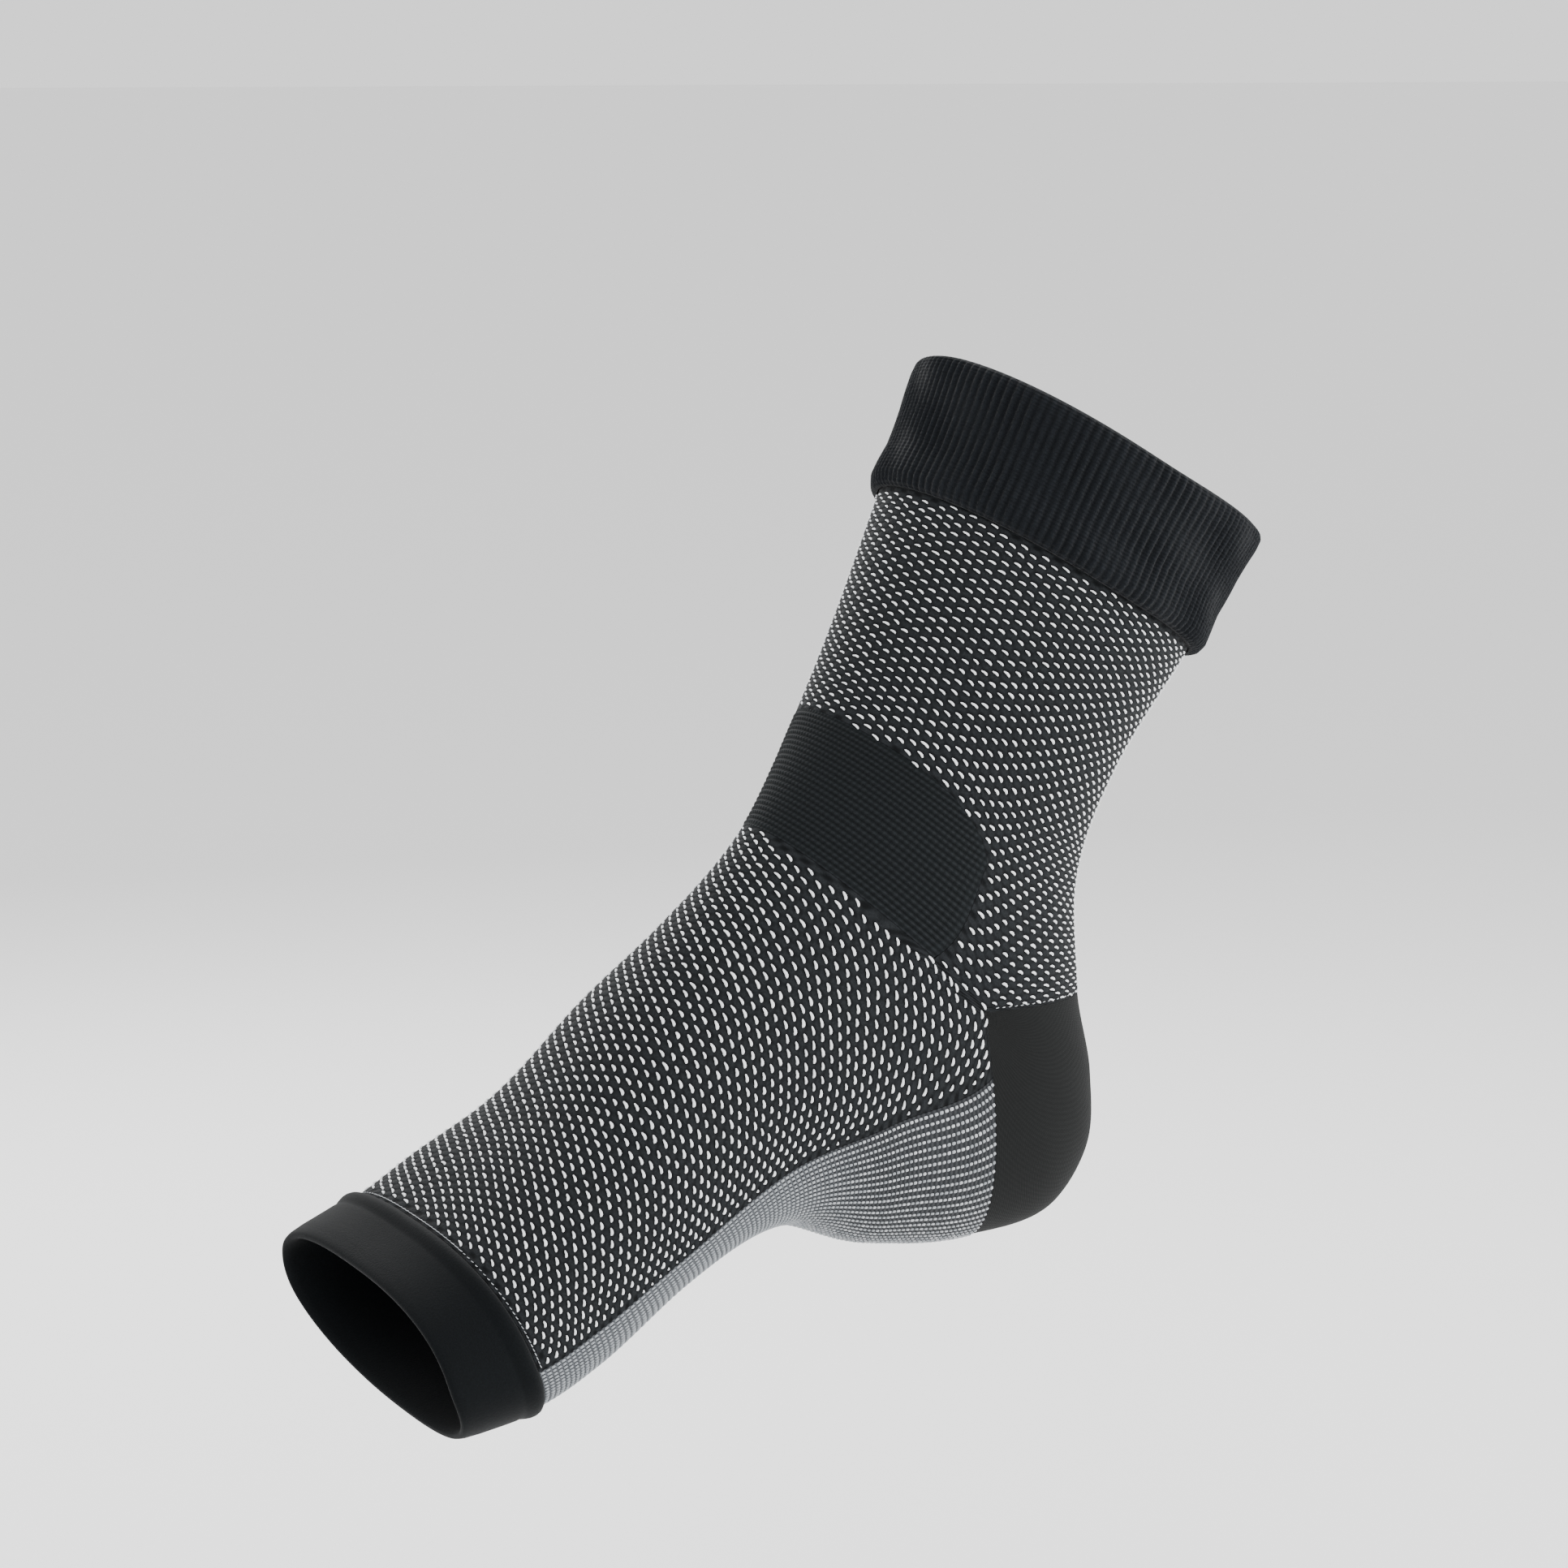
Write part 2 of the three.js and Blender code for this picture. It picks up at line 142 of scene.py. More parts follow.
# The heel's back line, as shares of its reach and drop, and the steps from the first section to the
# cuff's rim and from the last to the toe band's edge, as shares of the cuff's height and band's width
heelBack = [[0.882, -0.259], [0.98, -0.538], [0.96, -0.775], [0.75, -0.933], [0.21, -1]]
cuffStep = [0.37, 0.9, 0.46, 0.817, 0.563, 0.806, 0.057, 0.057]
bandStep = [-0.87, -0.45, -1.1, -0.29, -1.06, -0.26, -0.03, -0.03]

# Along the foot, the degrees by which a place at the side lies further back than its share says
slantAt = [0, 0.23, 0.475, 0.72, 1.2]
slantDegrees = [[0], [-6], [-9.5], [-9.5], [-9.5]]


def plainRows(sections, reach, rise, width):
    table = np.array(sections, float)
    scale = [reach, rise, reach, rise, reach, rise, width, width, 1, 1, 1]
    return table[:, 0], table[:, 1:] * scale


def steppedRow(row, step, length):
    return row + np.array(step + [0, 0, 0]) * length


legAt, legRows = plainRows(legSections, form["legReach"], form["legRise"], form["legWidth"])
cornerRow = plainRows([cornerSection], form["legReach"], form["legRise"], form["heelWidth"])[1][0]
footAt, footRows = plainRows(footSections, form["footReach"], form["footDrop"], form["ballWidth"])
corner = form["cornerCourse"]
footCourses = form["bandCourse"] - corner
ringCourses = np.array([
    -form["cuffCourses"], *(corner * legAt), corner,
    *(corner + footCourses * footAt), form["bandCourse"] + form["bandCourses"],
])
ringRows = np.array([
    steppedRow(legRows[0], cuffStep, form["cuffHeight"]), *legRows, cornerRow, *footRows,
    steppedRow(footRows[-1], bandStep, form["bandWidth"]),
])
heelPoints = np.array(heelBack) * [form["heelReach"], form["heelDrop"]]
heelAlong = np.concatenate([[0], np.cumsum(np.linalg.norm(np.diff(heelPoints, axis=0), axis=1))])
heelKnots = corner + form["heelCourses"] * heelAlong / heelAlong[-1]
cornerKnot = list(ringCourses).index(corner)
backCourses = np.concatenate([
    ringCourses[:cornerKnot], heelKnots, ringCourses[cornerKnot + 1:] + form["heelCourses"],
])
backRows = np.vstack([ringRows[:cornerKnot, 4:6], heelPoints, ringRows[cornerKnot + 1:, 4:6]])


# A smooth curve through rows of numbers at uneven knots
def smoothRow(knots, rows, where):
    knots = np.asarray(knots, float)
    rows = np.asarray(rows, float)
    spans = np.diff(knots)[:, None]
    slopes = np.diff(rows, axis=0) / spans
    middle = (slopes[:-1] * spans[1:] + slopes[1:] * spans[:-1]) / (spans[:-1] + spans[1:])
    tangents = np.vstack([slopes[:1], middle, slopes[-1:]])
    k = np.clip(np.searchsorted(knots, where) - 1, 0, len(knots) - 2)
    span = spans[k]
    t = (where - knots[k])[:, None] / span
    start = rows[k] * (2 * t**3 - 3 * t**2 + 1) + tangents[k] * (t**3 - 2 * t**2 + t) * span
    end = rows[k + 1] * (3 * t**2 - 2 * t**3) + tangents[k + 1] * (t**3 - t**2) * span
    return start + end


def backOf(course):
    return np.where(course > corner, course + form["heelCourses"], course)


# Points of the cloth's outer face. back is the course on the back line, which differs in the heel.
def clothPoint(course, share, back=None):
    back = backOf(course) if back is None else back
    frontX, frontZ, sideX, sideZ, _, _, inner, outer, roll, frontPower, backPower = smoothRow(
        ringCourses, ringRows, course).T
    rearX, rearZ = smoothRow(backCourses, backRows, back).T
    down = np.maximum(course - corner, 0) / footCourses
    slant = np.where(down > 0, smoothRow(slantAt, slantDegrees, down)[:, 0], 0)
    angle = 2 * np.pi * share + np.radians(slant) * np.sin(2 * np.pi * share)
    cos = np.cos(angle)
    sin = np.sin(angle)
    power = np.where(cos >= 0, frontPower, backPower)
    size = (np.abs(cos) ** power + np.abs(sin) ** power) ** (-1 / power)
    forward = cos * size
    across = sin * size
    soft = form["bendSoftness"] * np.minimum(1, np.abs(course - corner) / form["bendFade"])
    reach = np.hypot(forward, soft)
    full = 1 + np.hypot(1, soft)
    toFront = (forward + reach) / full
    toBack = (reach - forward) / full
    y = -across * np.where(across >= 0, inner, outer)
    lift = y * np.tan(np.radians(roll)) / np.hypot(frontX - rearX, frontZ - rearZ)
    x = sideX + toFront * (frontX - sideX) + toBack * (rearX - sideX) + lift * (frontX - rearX)
    z = sideZ + toFront * (frontZ - sideZ) + toBack * (rearZ - sideZ) + lift * (frontZ - rearZ)
    return np.column_stack([x, y, z])


def unit(vectors):
    return vectors / np.linalg.norm(vectors, axis=1)[:, None]


# At each place, the point, the step to the next course, the step to the next column and the normal
def clothFrame(course, share):
    smallCourse = 0.05
    smallShare = 0.0005
    point = clothPoint(course, share)
    down = (clothPoint(course + smallCourse, share) - point) / smallCourse
    around = (clothPoint(course, share + smallShare) - point) / smallShare / form["columns"]
    return point, down, around, unit(np.cross(down, around))


# Making pieces: each is a flat grid charted in courses and shares, then laid on the form

def deselectAll():
    bpy.ops.object.select_all(action="DESELECT")


def makeActive(piece):
    deselectAll()
    piece.select_set(True)
    bpy.context.view_layer.objects.active = piece


# A flat grid, with each point's column and its row, counted down from the top
def chartGrid(name, across, along):
    deselectAll()
    bpy.ops.mesh.primitive_grid_add(x_subdivisions=across, y_subdivisions=along, size=1)
    piece = bpy.context.active_object
    piece.name = name
    piece.data.name = name
    flat = np.zeros(len(piece.data.vertices) * 3)
    piece.data.vertices.foreach_get("co", flat)
    flat = flat.reshape(-1, 3)
    column = np.round((flat[:, 0] + 0.5) * across).astype(int)
    row = np.round((0.5 - flat[:, 1]) * along).astype(int)
    return piece, column, row


def placePoints(piece, points):
    piece.data.vertices.foreach_set("co", np.asarray(points, np.float32).ravel())
    piece.data.update()


# Lays the knit's own coordinates on a piece as its UV map: wales and stitch rows on the body, ribs
# and millimetres on a ring, columns and courses on the others
def mapKnit(piece, across, along):
    if "knit" not in piece.data.uv_layers:
        piece.data.uv_layers[0].name = "knit"
    loops = np.zeros(len(piece.data.loops), int)
    piece.data.loops.foreach_get("vertex_index", loops)
    values = np.column_stack([across[loops], along[loops]]).astype(np.float32)
    piece.data.uv_layers["knit"].data.foreach_set("uv", values.ravel())


# Deletes the faces that are picked, one true or false to each face
def dropFaces(piece, picked):
    makeActive(piece)
    bpy.ops.object.mode_set(mode="EDIT")
    bpy.ops.mesh.select_mode(type="FACE")
    bpy.ops.mesh.select_all(action="DESELECT")
    bpy.ops.object.mode_set(mode="OBJECT")
    piece.data.polygons.foreach_set("select", picked)
    bpy.ops.object.mode_set(mode="EDIT")
    bpy.ops.mesh.delete(type="FACE")
    bpy.ops.object.mode_set(mode="OBJECT")


# Runs an operator of edit mode on all of a piece
def editWhole(piece, operator, **settings):
    makeActive(piece)
    bpy.ops.object.mode_set(mode="EDIT")
    bpy.ops.mesh.select_all(action="SELECT")
    operator(**settings)
    bpy.ops.object.mode_set(mode="OBJECT")


def weld(piece):
    editWhole(piece, bpy.ops.mesh.remove_doubles, threshold=0.00001)


# Turns an open cloth into a closed wall, its lining in the second material
def thicken(piece, thickness):
    makeActive(piece)
    wall = piece.modifiers.new("wall", "SOLIDIFY")
    wall.thickness = thickness
    wall.offset = -1
    wall.use_even_offset = False
    wall.material_offset = 1
    bpy.ops.object.modifier_apply(modifier="wall")
    bpy.ops.object.shade_smooth_by_angle(angle=math.radians(50))


def smoothShade(piece):
    makeActive(piece)
    bpy.ops.object.shade_smooth()


def finishPiece(piece, node, materials):
    piece.data.materials.clear()
    for material in materials:
        piece.data.materials.append(material)
    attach(piece, "root")
    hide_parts(node)
    print(piece.name + ":", len(piece.data.polygons), "faces")


# Copies of one small shape, joined in one mesh. axes holds the first, second and third axis of each.
def strewCopies(name, shape, centres, axes, tones):
    corners = np.array([vertex.co for vertex in shape.data.vertices])
    faces = [list(polygon.vertices) for polygon in shape.data.polygons]
    points = centres[:, None, :] + np.einsum("vk,nkc->nvc", corners, np.stack(axes, axis=1))
    count = len(corners)
    copied = [[count * n + v for v in face] for n in range(len(centres)) for face in faces]
    mesh = bpy.data.meshes.new(name)
    mesh.from_pydata(points.reshape(-1, 3).tolist(), [], copied)
    tone = mesh.attributes.new("tone", "FLOAT", "POINT")
    tone.data.foreach_set("value", np.repeat(tones, count).astype(np.float32))
    piece = bpy.data.objects.new(name, mesh)
    bpy.context.collection.objects.link(piece)
    smoothShade(piece)
    return piece


# Materials

def hexColour(code):
    channels = [int(code[k:k + 2], 16) / 255 for k in (1, 3, 5)]
    linear = [c / 12.92 if c <= 0.04045 else ((c + 0.055) / 1.055) ** 2.4 for c in channels]
    return (*linear, 1)


# Adds a node. Inputs are values or other nodes' outputs, by number or by name.
def addNode(tree, kind, inputs=(), **settings):
    node = tree.nodes.new("ShaderNode" + kind)
    for name, value in settings.items():
        setattr(node, name, value)
    for key, value in inputs.items() if isinstance(inputs, dict) else enumerate(inputs):
        if isinstance(value, bpy.types.NodeSocket):
            tree.links.new(value, node.inputs[key])
        else:
            node.inputs[key].default_value = value
    return node.outputs


def newMaterial(name):
    material = bpy.data.materials.new(name)
    material.use_nodes = True
    tree = material.node_tree
    tree.nodes.clear()
    return material, tree


# Yarn cloth: a rough dielectric with the soft rim light of loose fibres, dark and light by a shade
def finishCloth(tree, shade, dark, light, height, depth, roughness=0.85, sheen=0.03, shine=0.06):
    tones = {0: shade, 6: hexColour(dark), 7: hexColour(light)}
    colour = addNode(tree, "Mix", tones, data_type="RGBA")[2]
    bump = addNode(tree, "Bump", {"Height": height, "Strength": 1, "Distance": depth})[0]
    cloth = addNode(tree, "BsdfPrincipled", {
        "Base Color": colour,
        "Normal": bump,
        "Roughness": roughness,
        "IOR": 1.5,
        "Specular IOR Level": shine,
        "Sheen Weight": sheen,
        "Sheen Roughness": 0.5,
    })[0]
    addNode(tree, "OutputMaterial", [cloth])


def knitCoordinates(tree):
    uv = addNode(tree, "UVMap", uv_map="knit")[0]
    return addNode(tree, "SeparateXYZ", [uv])


# Fibre noise: fine fuzz on the yarn, a few tenths of a millimetre across
def fibreNoise(tree, size, detail=3):
    place = addNode(tree, "TexCoord")["Object"]
    noise = {"Vector": place, "Scale": 1 / size, "Detail": detail, "Roughness": 0.6}
    return addNode(tree, "TexNoise", noise)[0]


# A wave of the knit: the cosine of a coordinate times a factor
def knitWave(tree, value, factor):
    turned = addNode(tree, "Math", [value, factor], operation="MULTIPLY")[0]
    return addNode(tree, "Math", [turned], operation="COSINE")[0]


# Float-stitch jersey of dark nylon: low pillows of yarn between the floats, with painted shade where
# they dive: the colour darkens there, as well as the bump.
# Its lining is the same cloth's back, a little darker.
bodyKnit = {
    "yarn": "#1f2123",
    # painted shade: the colour where the yarn dives under the floats, and of the fuzz's dark flecks
    "shadeAndMottle": "#060708",
    "lining": "#17191a",
    "relief": 0.0003,            # height of a pillow of yarn
    "fibre": 0.0005,             # size of the fuzz
}


def makeBodyKnit(name, yarn, shadeAndMottle):
    material, tree = newMaterial(name)
    across, along, _ = knitCoordinates(tree)
    waleWave = knitWave(tree, across, math.pi)
    courseWave = knitWave(tree, along, 2 * math.pi)
    dive = addNode(tree, "Math", [waleWave, courseWave], operation="MULTIPLY")[0]
    pillow = addNode(tree, "MapRange", {
        "Value": dive, "From Min": 0.95, "From Max": -0.75,
    }, interpolation_type="SMOOTHSTEP")[0]
    fuzz = fibreNoise(tree, bodyKnit["fibre"])
    height = addNode(tree, "Math", [fuzz, 0.5, pillow], operation="MULTIPLY_ADD")[0]
    # Painted shade: the colour darkens from the pillows' tops down to where the yarn dives
    shade = addNode(tree, "Math", [pillow, fuzz], operation="MULTIPLY")[0]
    shade = addNode(tree, "Math", [shade, 1.5, 0.12], operation="MULTIPLY_ADD")[0]
    finishCloth(tree, shade, shadeAndMottle, yarn, height, bodyKnit["relief"])
    return material


# Polyamide float yarn: bright white, a little shiny, each stitch a shade of its own
floatYarn = {
    "bright": "#f6f7f8",
    "dull": "#d6d9dc",
    "fibre": 0.0003,
    "relief": 0.00012,
    "roughness": 0.62,
    "sheen": 0.05,
    "shine": 0.3,
}


def makeFloatYarn(name, dull, bright):
    material, tree = newMaterial(name)
    tone = addNode(tree, "Attribute", attribute_name="tone")["Fac"]
    fuzz = fibreNoise(tree, floatYarn["fibre"])
    part = addNode(tree, "Math", [tone, 0.7], operation="MULTIPLY")[0]
    shade = addNode(tree, "Math", [fuzz, 0.4, part], operation="MULTIPLY_ADD")[0]
    finishCloth(tree, shade, dull, bright, fuzz, floatYarn["relief"],
                floatYarn["roughness"], floatYarn["sheen"], floatYarn["shine"])
    return material


# Plain fine knit of textured nylon, for the instep panel and the heel: rows of tiny loops that read
# as a matt cloth, with painted shade darkening the grooves between rows and loops. rows is their number to a
# course.
def makeFineKnit(name, yarn, shadeAndMottle, depth, rows):
    material, tree = newMaterial(name)
    across, along, _ = knitCoordinates(tree)
    row = knitWave(tree, along, 2 * rows * math.pi)
    stagger = addNode(tree, "Math", [along, 0.5, across], operation="MULTIPLY_ADD")[0]
    loop = knitWave(tree, stagger, 4 * math.pi)
    row = addNode(tree, "Math", [row, 0.35, 0.65], operation="MULTIPLY_ADD")[0]
    loop = addNode(tree, "Math", [loop, 0.25, 0.75], operation="MULTIPLY_ADD")[0]
    loops = addNode(tree, "Math", [row, loop], operation="MULTIPLY")[0]
    fuzz = fibreNoise(tree, 0.0004)
    height = addNode(tree, "Math", [fuzz, 0.6, loops], operation="MULTIPLY_ADD")[0]
    # Painted shade: the colour follows the loops' height, darkest in the grooves
    shade = addNode(tree, "Math", [height, 0.8], operation="MULTIPLY")[0]
    finishCloth(tree, shade, shadeAndMottle, yarn, height, depth)
    return material


# A fine knit and its lining
def fineKnits(outside, lining, cloth):
    sides = zip((outside, lining), cloth["yarn"], cloth["shadeAndMottle"], cloth["relief"])
    return [makeFineKnit(*side, cloth["knitRows"]) for side in sides]


print("form and materials ready")

# The body's stitch rows and wales. The cloth is stretched unevenly, so they drift over the form.

drift = {
    "wales": 92,                 # of stitches round the leg
    "rowCourses": [0, 5, 8, 11, 14, 18, 23, 29, 34, 40, 44, 50, 56, 62, 68, 76, 84],
    "rowRates": [                # stitch rows to a course
        1.25, 1.24, 1.18, 1.07, 0.97, 0.93, 0.92, 0.96, 1.03,
        0.97, 0.9, 0.82, 0.83, 0.89, 0.96, 1.03, 1.13,
    ],
    "legEnd": 34.4,              # the rows break off at the heel's corner
    "footStart": 34.6,
    "rowNumbers": (-6, 100),     # more rows than the cloth has
    "courses": [2, 11, 20, 34.4, 34.6, 44, 56, 68, 80],     # of the lines of the tables below
    "columns": [0, 4, 8, 12, 16, 20, 24, 30, 36, 42],       # of their entries
    "waleRates": [               # wales to a column
        [1.02, 1.04, 1.05, 1.09, 1.14, 1.18, 1.2, 1.1, 1.05, 1.02],
        [1.06, 1.04, 1.02, 1.08, 1.2, 1.27, 1.26, 1.12, 1, 0.95],
        [0.98, 0.94, 0.94, 1.02, 1.16, 1.35, 1.38, 1.18, 1, 0.95],
        [1, 0.96, 0.96, 1.04, 1.16, 1.3, 1.28, 1.22, 1, 0.95],
        [1.06, 1.07, 1.06, 1.17, 1.6, 1.78, 1.32, 0.8, 0.8, 0.8],
        [0.93, 0.98, 1.04, 1.18, 1.44, 1.56, 1.38, 0.9, 0.9, 0.9],
        [0.86, 0.86, 0.96, 1.1, 1.29, 1.62, 1.57, 0.95, 0.95, 0.95],
        [0.84, 0.84, 0.9, 0.98, 1.05, 1.24, 1.2, 1.22, 1.22, 1.22],
        [1, 0.98, 1, 0.99, 0.94, 0.94, 0.95, 1.3, 1.3, 1.3],
    ],
    "rowTilts": [                # rows that a column further round lies lower
        [0, -0.02, 0, 0.01, 0.01, -0.03, -0.07, 0, 0, 0],
        [0, 0, -0.04, -0.08, -0.1, -0.1, -0.07, -0.01, 0, 0],
        [0, 0.05, -0.01, -0.09, -0.17, -0.18, -0.15, -0.05, 0, 0],
        [0, 0.1, 0, -0.1, -0.12, -0.1, -0.06, -0.01, 0, 0],
        [0, 0.12, -0.03, -0.37, -0.66, -0.58, -0.35, -0.1, 0, 0],
        [0, 0.06, -0.05, -0.26, -0.58, -0.61, -0.42, -0.1, 0, 0],
        [0, 0.01, -0.05, -0.15, -0.36, -0.61, -0.6, -0.1, 0, 0],
        [0, -0.05, -0.06, -0.09, -0.18, -0.33, -0.4, 0, 0, 0],
        [0, -0.07, -0.07, -0.05, -0.03, -0.03, -0.05, 0, 0, 0],
    ],
}


# Running sums of a rate given at knots, at finer steps
def runningSum(knots, rates, fine):
    rate = np.interp(fine, knots, rates)
    return np.concatenate([[0], np.cumsum((rate[1:] + rate[:-1]) / 2 * np.diff(fine))])


fineColumns = np.linspace(0, form["columns"] / 2, 169)
fineCourses = np.linspace(-5, form["bandCourse"] + 5, 377)
waleSums = np.array([runningSum(drift["columns"], rates, fineColumns) for rates in drift["waleRates"]])
waleSums *= drift["wales"] / 2 / waleSums[:, -1:]
tiltSums = np.array([runningSum(drift["columns"], rates, fineColumns) for rates in drift["rowTilts"]])
rowSums = runningSum(drift["rowCourses"], drift["rowRates"], fineCourses)


# The wale and the stitch row at a place of the cloth
def knitPlace(course, share):
    column = np.abs(share) * form["columns"]
    at = np.interp(course, drift["courses"], np.arange(len(drift["courses"])))
    low = np.minimum(at.astype(int), len(drift["courses"]) - 2)
    part = at - low
    pick = np.arange(len(column))

    def blend(sums):
        lines = np.array([np.interp(column, fineColumns, line) for line in sums])
        return lines[low, pick] * (1 - part) + lines[low + 1, pick] * part

    row = np.interp(course, fineCourses, rowSums) + blend(tiltSums)
    return np.sign(share) * blend(waleSums), row


# Steps of the cloth to the next wale along a row and to the next row along a wale
def knitSteps(course, share, down, around):
    small = 0.05
    turn = np.where(share > 0, -small, small)
    wale, row = knitPlace(course, share)
    waleDown, rowDown = knitPlace(course + small, share)
    waleRound, rowRound = knitPlace(course, share + turn / form["columns"])
    waleDown, rowDown = ((waleDown - wale) / small)[:, None], ((rowDown - row) / small)[:, None]
    waleRound, rowRound = ((waleRound - wale) / turn)[:, None], ((rowRound - row) / turn)[:, None]
    turned = waleRound * rowDown - waleDown * rowRound
    return (around * rowDown - down * rowRound) / turned, (down * waleRound - around * waleDown) / turned


# The body: a tube of float-stitch jersey over the leg and the upper foot, left open at the heel,
# under the arch and at the instep panel

body = {
    "columns": 168,              # grid columns round the leg, two to a column of the form
    "panelColumn": 34,           # the grid line, counted from the front, that follows the panel's edge
    "archColumn": 49,            # the grid line along the arch panel's edge
    "rowsPerCourse": 2,
    "settle": 8,                 # courses above the panel over which the columns spread round it
}

panel = {
    "height": 12,                # courses
    "lift": 0.5,                 # its lower edge above the corner course
    "widest": 87.5,              # degrees round from the front
    "corner": 36,                # degrees that its round top corners take off
    "taper": 15,                 # and that the taper below them takes off
    "bow": 1.15,                 # power of the taper
    "shoulder": 0.3,             # of its height, at which the corners end
    "columns": 160,
    "rowsPerCourse": 8,
    "evenness": 0.35,            # of the body's rows beside the panel, which crowd towards its top
    "ridge": 0.0002,             # relief of each knitted row
    "endFade": 2,                # ridges gain this share of it in a course from each end
    "sideFade": 30,              # and this in a half width from each side
    "yarn": ("#1d2022", "#17191a"),        # outside and lining
    # painted shade in the grooves between rows and loops, outside and lining
    "shadeAndMottle": ("#020303", "#08090a"),
    "relief": (0.0003, 0.0002),  # of the loops
    "knitRows": 2,               # to a course
}
panelTop = corner - panel["lift"] - panel["height"]
panelBottom = corner - panel["lift"]


# The instep panel's half width as a share of a turn, at a share of its height
def panelReach(down):
    high = np.maximum(0, (panel["shoulder"] - down) / panel["shoulder"])
    low = np.maximum(0, (down - panel["shoulder"]) / (1 - panel["shoulder"]))
    curve = panel["corner"] * (1 - np.sqrt(1 - high**2))
    return (panel["widest"] - curve - panel["taper"] * low ** panel["bow"]) / 360


def evenRows(start, end, perCourse):
    return np.linspace(start, end, max(1, round((end - start) * perCourse)) + 1)


# Rows beside the instep panel, closer together at its top for its round corners
def panelRows(perCourse):
    count = round(panel["height"] * perCourse)
    even = np.arange(count + 1) / count
    crowded = 1 - np.cos(np.pi * even / 2)
    return panelTop + panel["height"] * (panel["evenness"] * even + (1 - panel["evenness"]) * crowded)


# The share at a grid column of the leg, whose lines part round the instep panel
def bodyShare(column, course):
    side = np.abs(column) / body["columns"]
    line = body["panelColumn"] / body["columns"]
    inPanel = panelReach(np.clip((course - panelTop) / panel["height"], 0, 1)) + form["edgeGap"] / 100
    above = np.clip((panelTop - course) / body["settle"], 0, 1)
    ease = above * above * (3 - 2 * above)
    edge = np.where(course > panelBottom + 0.01, line, inPanel * (1 - ease) + line * ease)
    near = side / line * edge
    far = edge + (side - line) / (0.5 - line) * (0.5 - edge)
    return np.sign(column) * np.where(side <= line, near, far)


def makeBody():
    tuckCourse = -form["cuffCourses"] * form["tuck"] / form["cuffHeight"]
    courses = np.concatenate([
        evenRows(tuckCourse, panelTop - form["edgeGap"], body["rowsPerCourse"]),
        panelRows(body["rowsPerCourse"])[1:-1],
        [panelBottom + form["edgeGap"], corner],
    ])
    # The leg's grid, down to the corner course, with a hole for the instep panel
    firstPanelRow = len(evenRows(tuckCourse, panelTop, body["rowsPerCourse"])) - 1
    lastPanelRow = len(courses) - 2
    half = body["columns"] // 2
    leg, column, row = chartGrid("knitBody", body["columns"], len(courses) - 1)
    column = column - half
    course = courses[row]
    share = bodyShare(column, course)
    mapKnit(leg, *knitPlace(course, share))
    faceColumn = np.array([column[list(polygon.vertices)].mean() for polygon in leg.data.polygons])
    faceRow = np.array([row[list(polygon.vertices)].mean() for polygon in leg.data.polygons])
    hole = (np.abs(faceColumn) < body["panelColumn"]) & (faceRow > firstPanelRow) & (faceRow < lastPanelRow)
    placePoints(leg, clothPoint(course, share))
    dropFaces(leg, hole)

    # The foot's grid, joined to it along the corner course
    courses = evenRows(corner, form["bandCourse"] - form["edgeGap"], body["rowsPerCourse"])
    foot, column, row = chartGrid("knitBodyFoot", 2 * body["archColumn"], len(courses) - 1)
    column = column - body["archColumn"]
    course = courses[row]
    share = np.where(np.abs(column) == body["archColumn"], np.abs(column) - form["edgeGap"], np.abs(column))
    share = np.sign(column) * share / body["columns"]
    mapKnit(foot, *knitPlace(course, share))
    placePoints(foot, clothPoint(course, share, course + form["heelCourses"]))
    makeActive(leg)
    foot.select_set(True)
    bpy.ops.object.join()
    weld(leg)
    thicken(leg, form["wall"])
    return leg


knitBody = makeBody()
finishPiece(knitBody, "knit_body", [
    makeBodyKnit("darkNylonFloatJersey", bodyKnit["yarn"], bodyKnit["shadeAndMottle"]),
    makeBodyKnit("darkNylonLining", bodyKnit["lining"], bodyKnit["shadeAndMottle"]),
])

# The white float stitches: one short comma of yarn to a wale and row, every other wale half a row
# lower

stitch = {
    "length": (0.72, 0.76),      # of a wale's width, on the leg and on the foot
    "width": (0.21, 0.25),       # of a row's height, the same
    "tilt": (0, 6),              # degrees off its row, its far end towards the toe band
    "longest": 0.0022,
    "widest": 0.00072,
    "narrowest": 0.00045,
    "height": 0.0006,            # thickness of the float, a third of it sunk in the cloth
    "lift": 0.17,                # of that thickness, the middle's height over the cloth
    "stoutest": 0.6,             # its width at most, as a share of its length
    "shape": (6, 6, 1.05, 0.36), # segments and rings, and its fat end's hook and swell
    "tiltSpread": 4,
    "sizeSpread": 0.07,          # share by which lengths and widths differ
    "slips": (0.00007, 0.00006), # by which places differ along and across
    "edgeSize": 0.5,             # of the stitches that lie along the arch panel
    "marginCourses": 0.25,       # kept clear inside the body's edges
    "marginColumns": 0.3,
    "bandMargin": 0.7,           # courses kept clear before the toe band
    "breakFrom": 16.6,           # column from which the break at the heel's corner is filled
    "breakStep": 0.25,           # columns between two places that are tried there
    "breakClear": 0.0019,        # distance from a stitch that is added to the others
    "seed": 7,
}


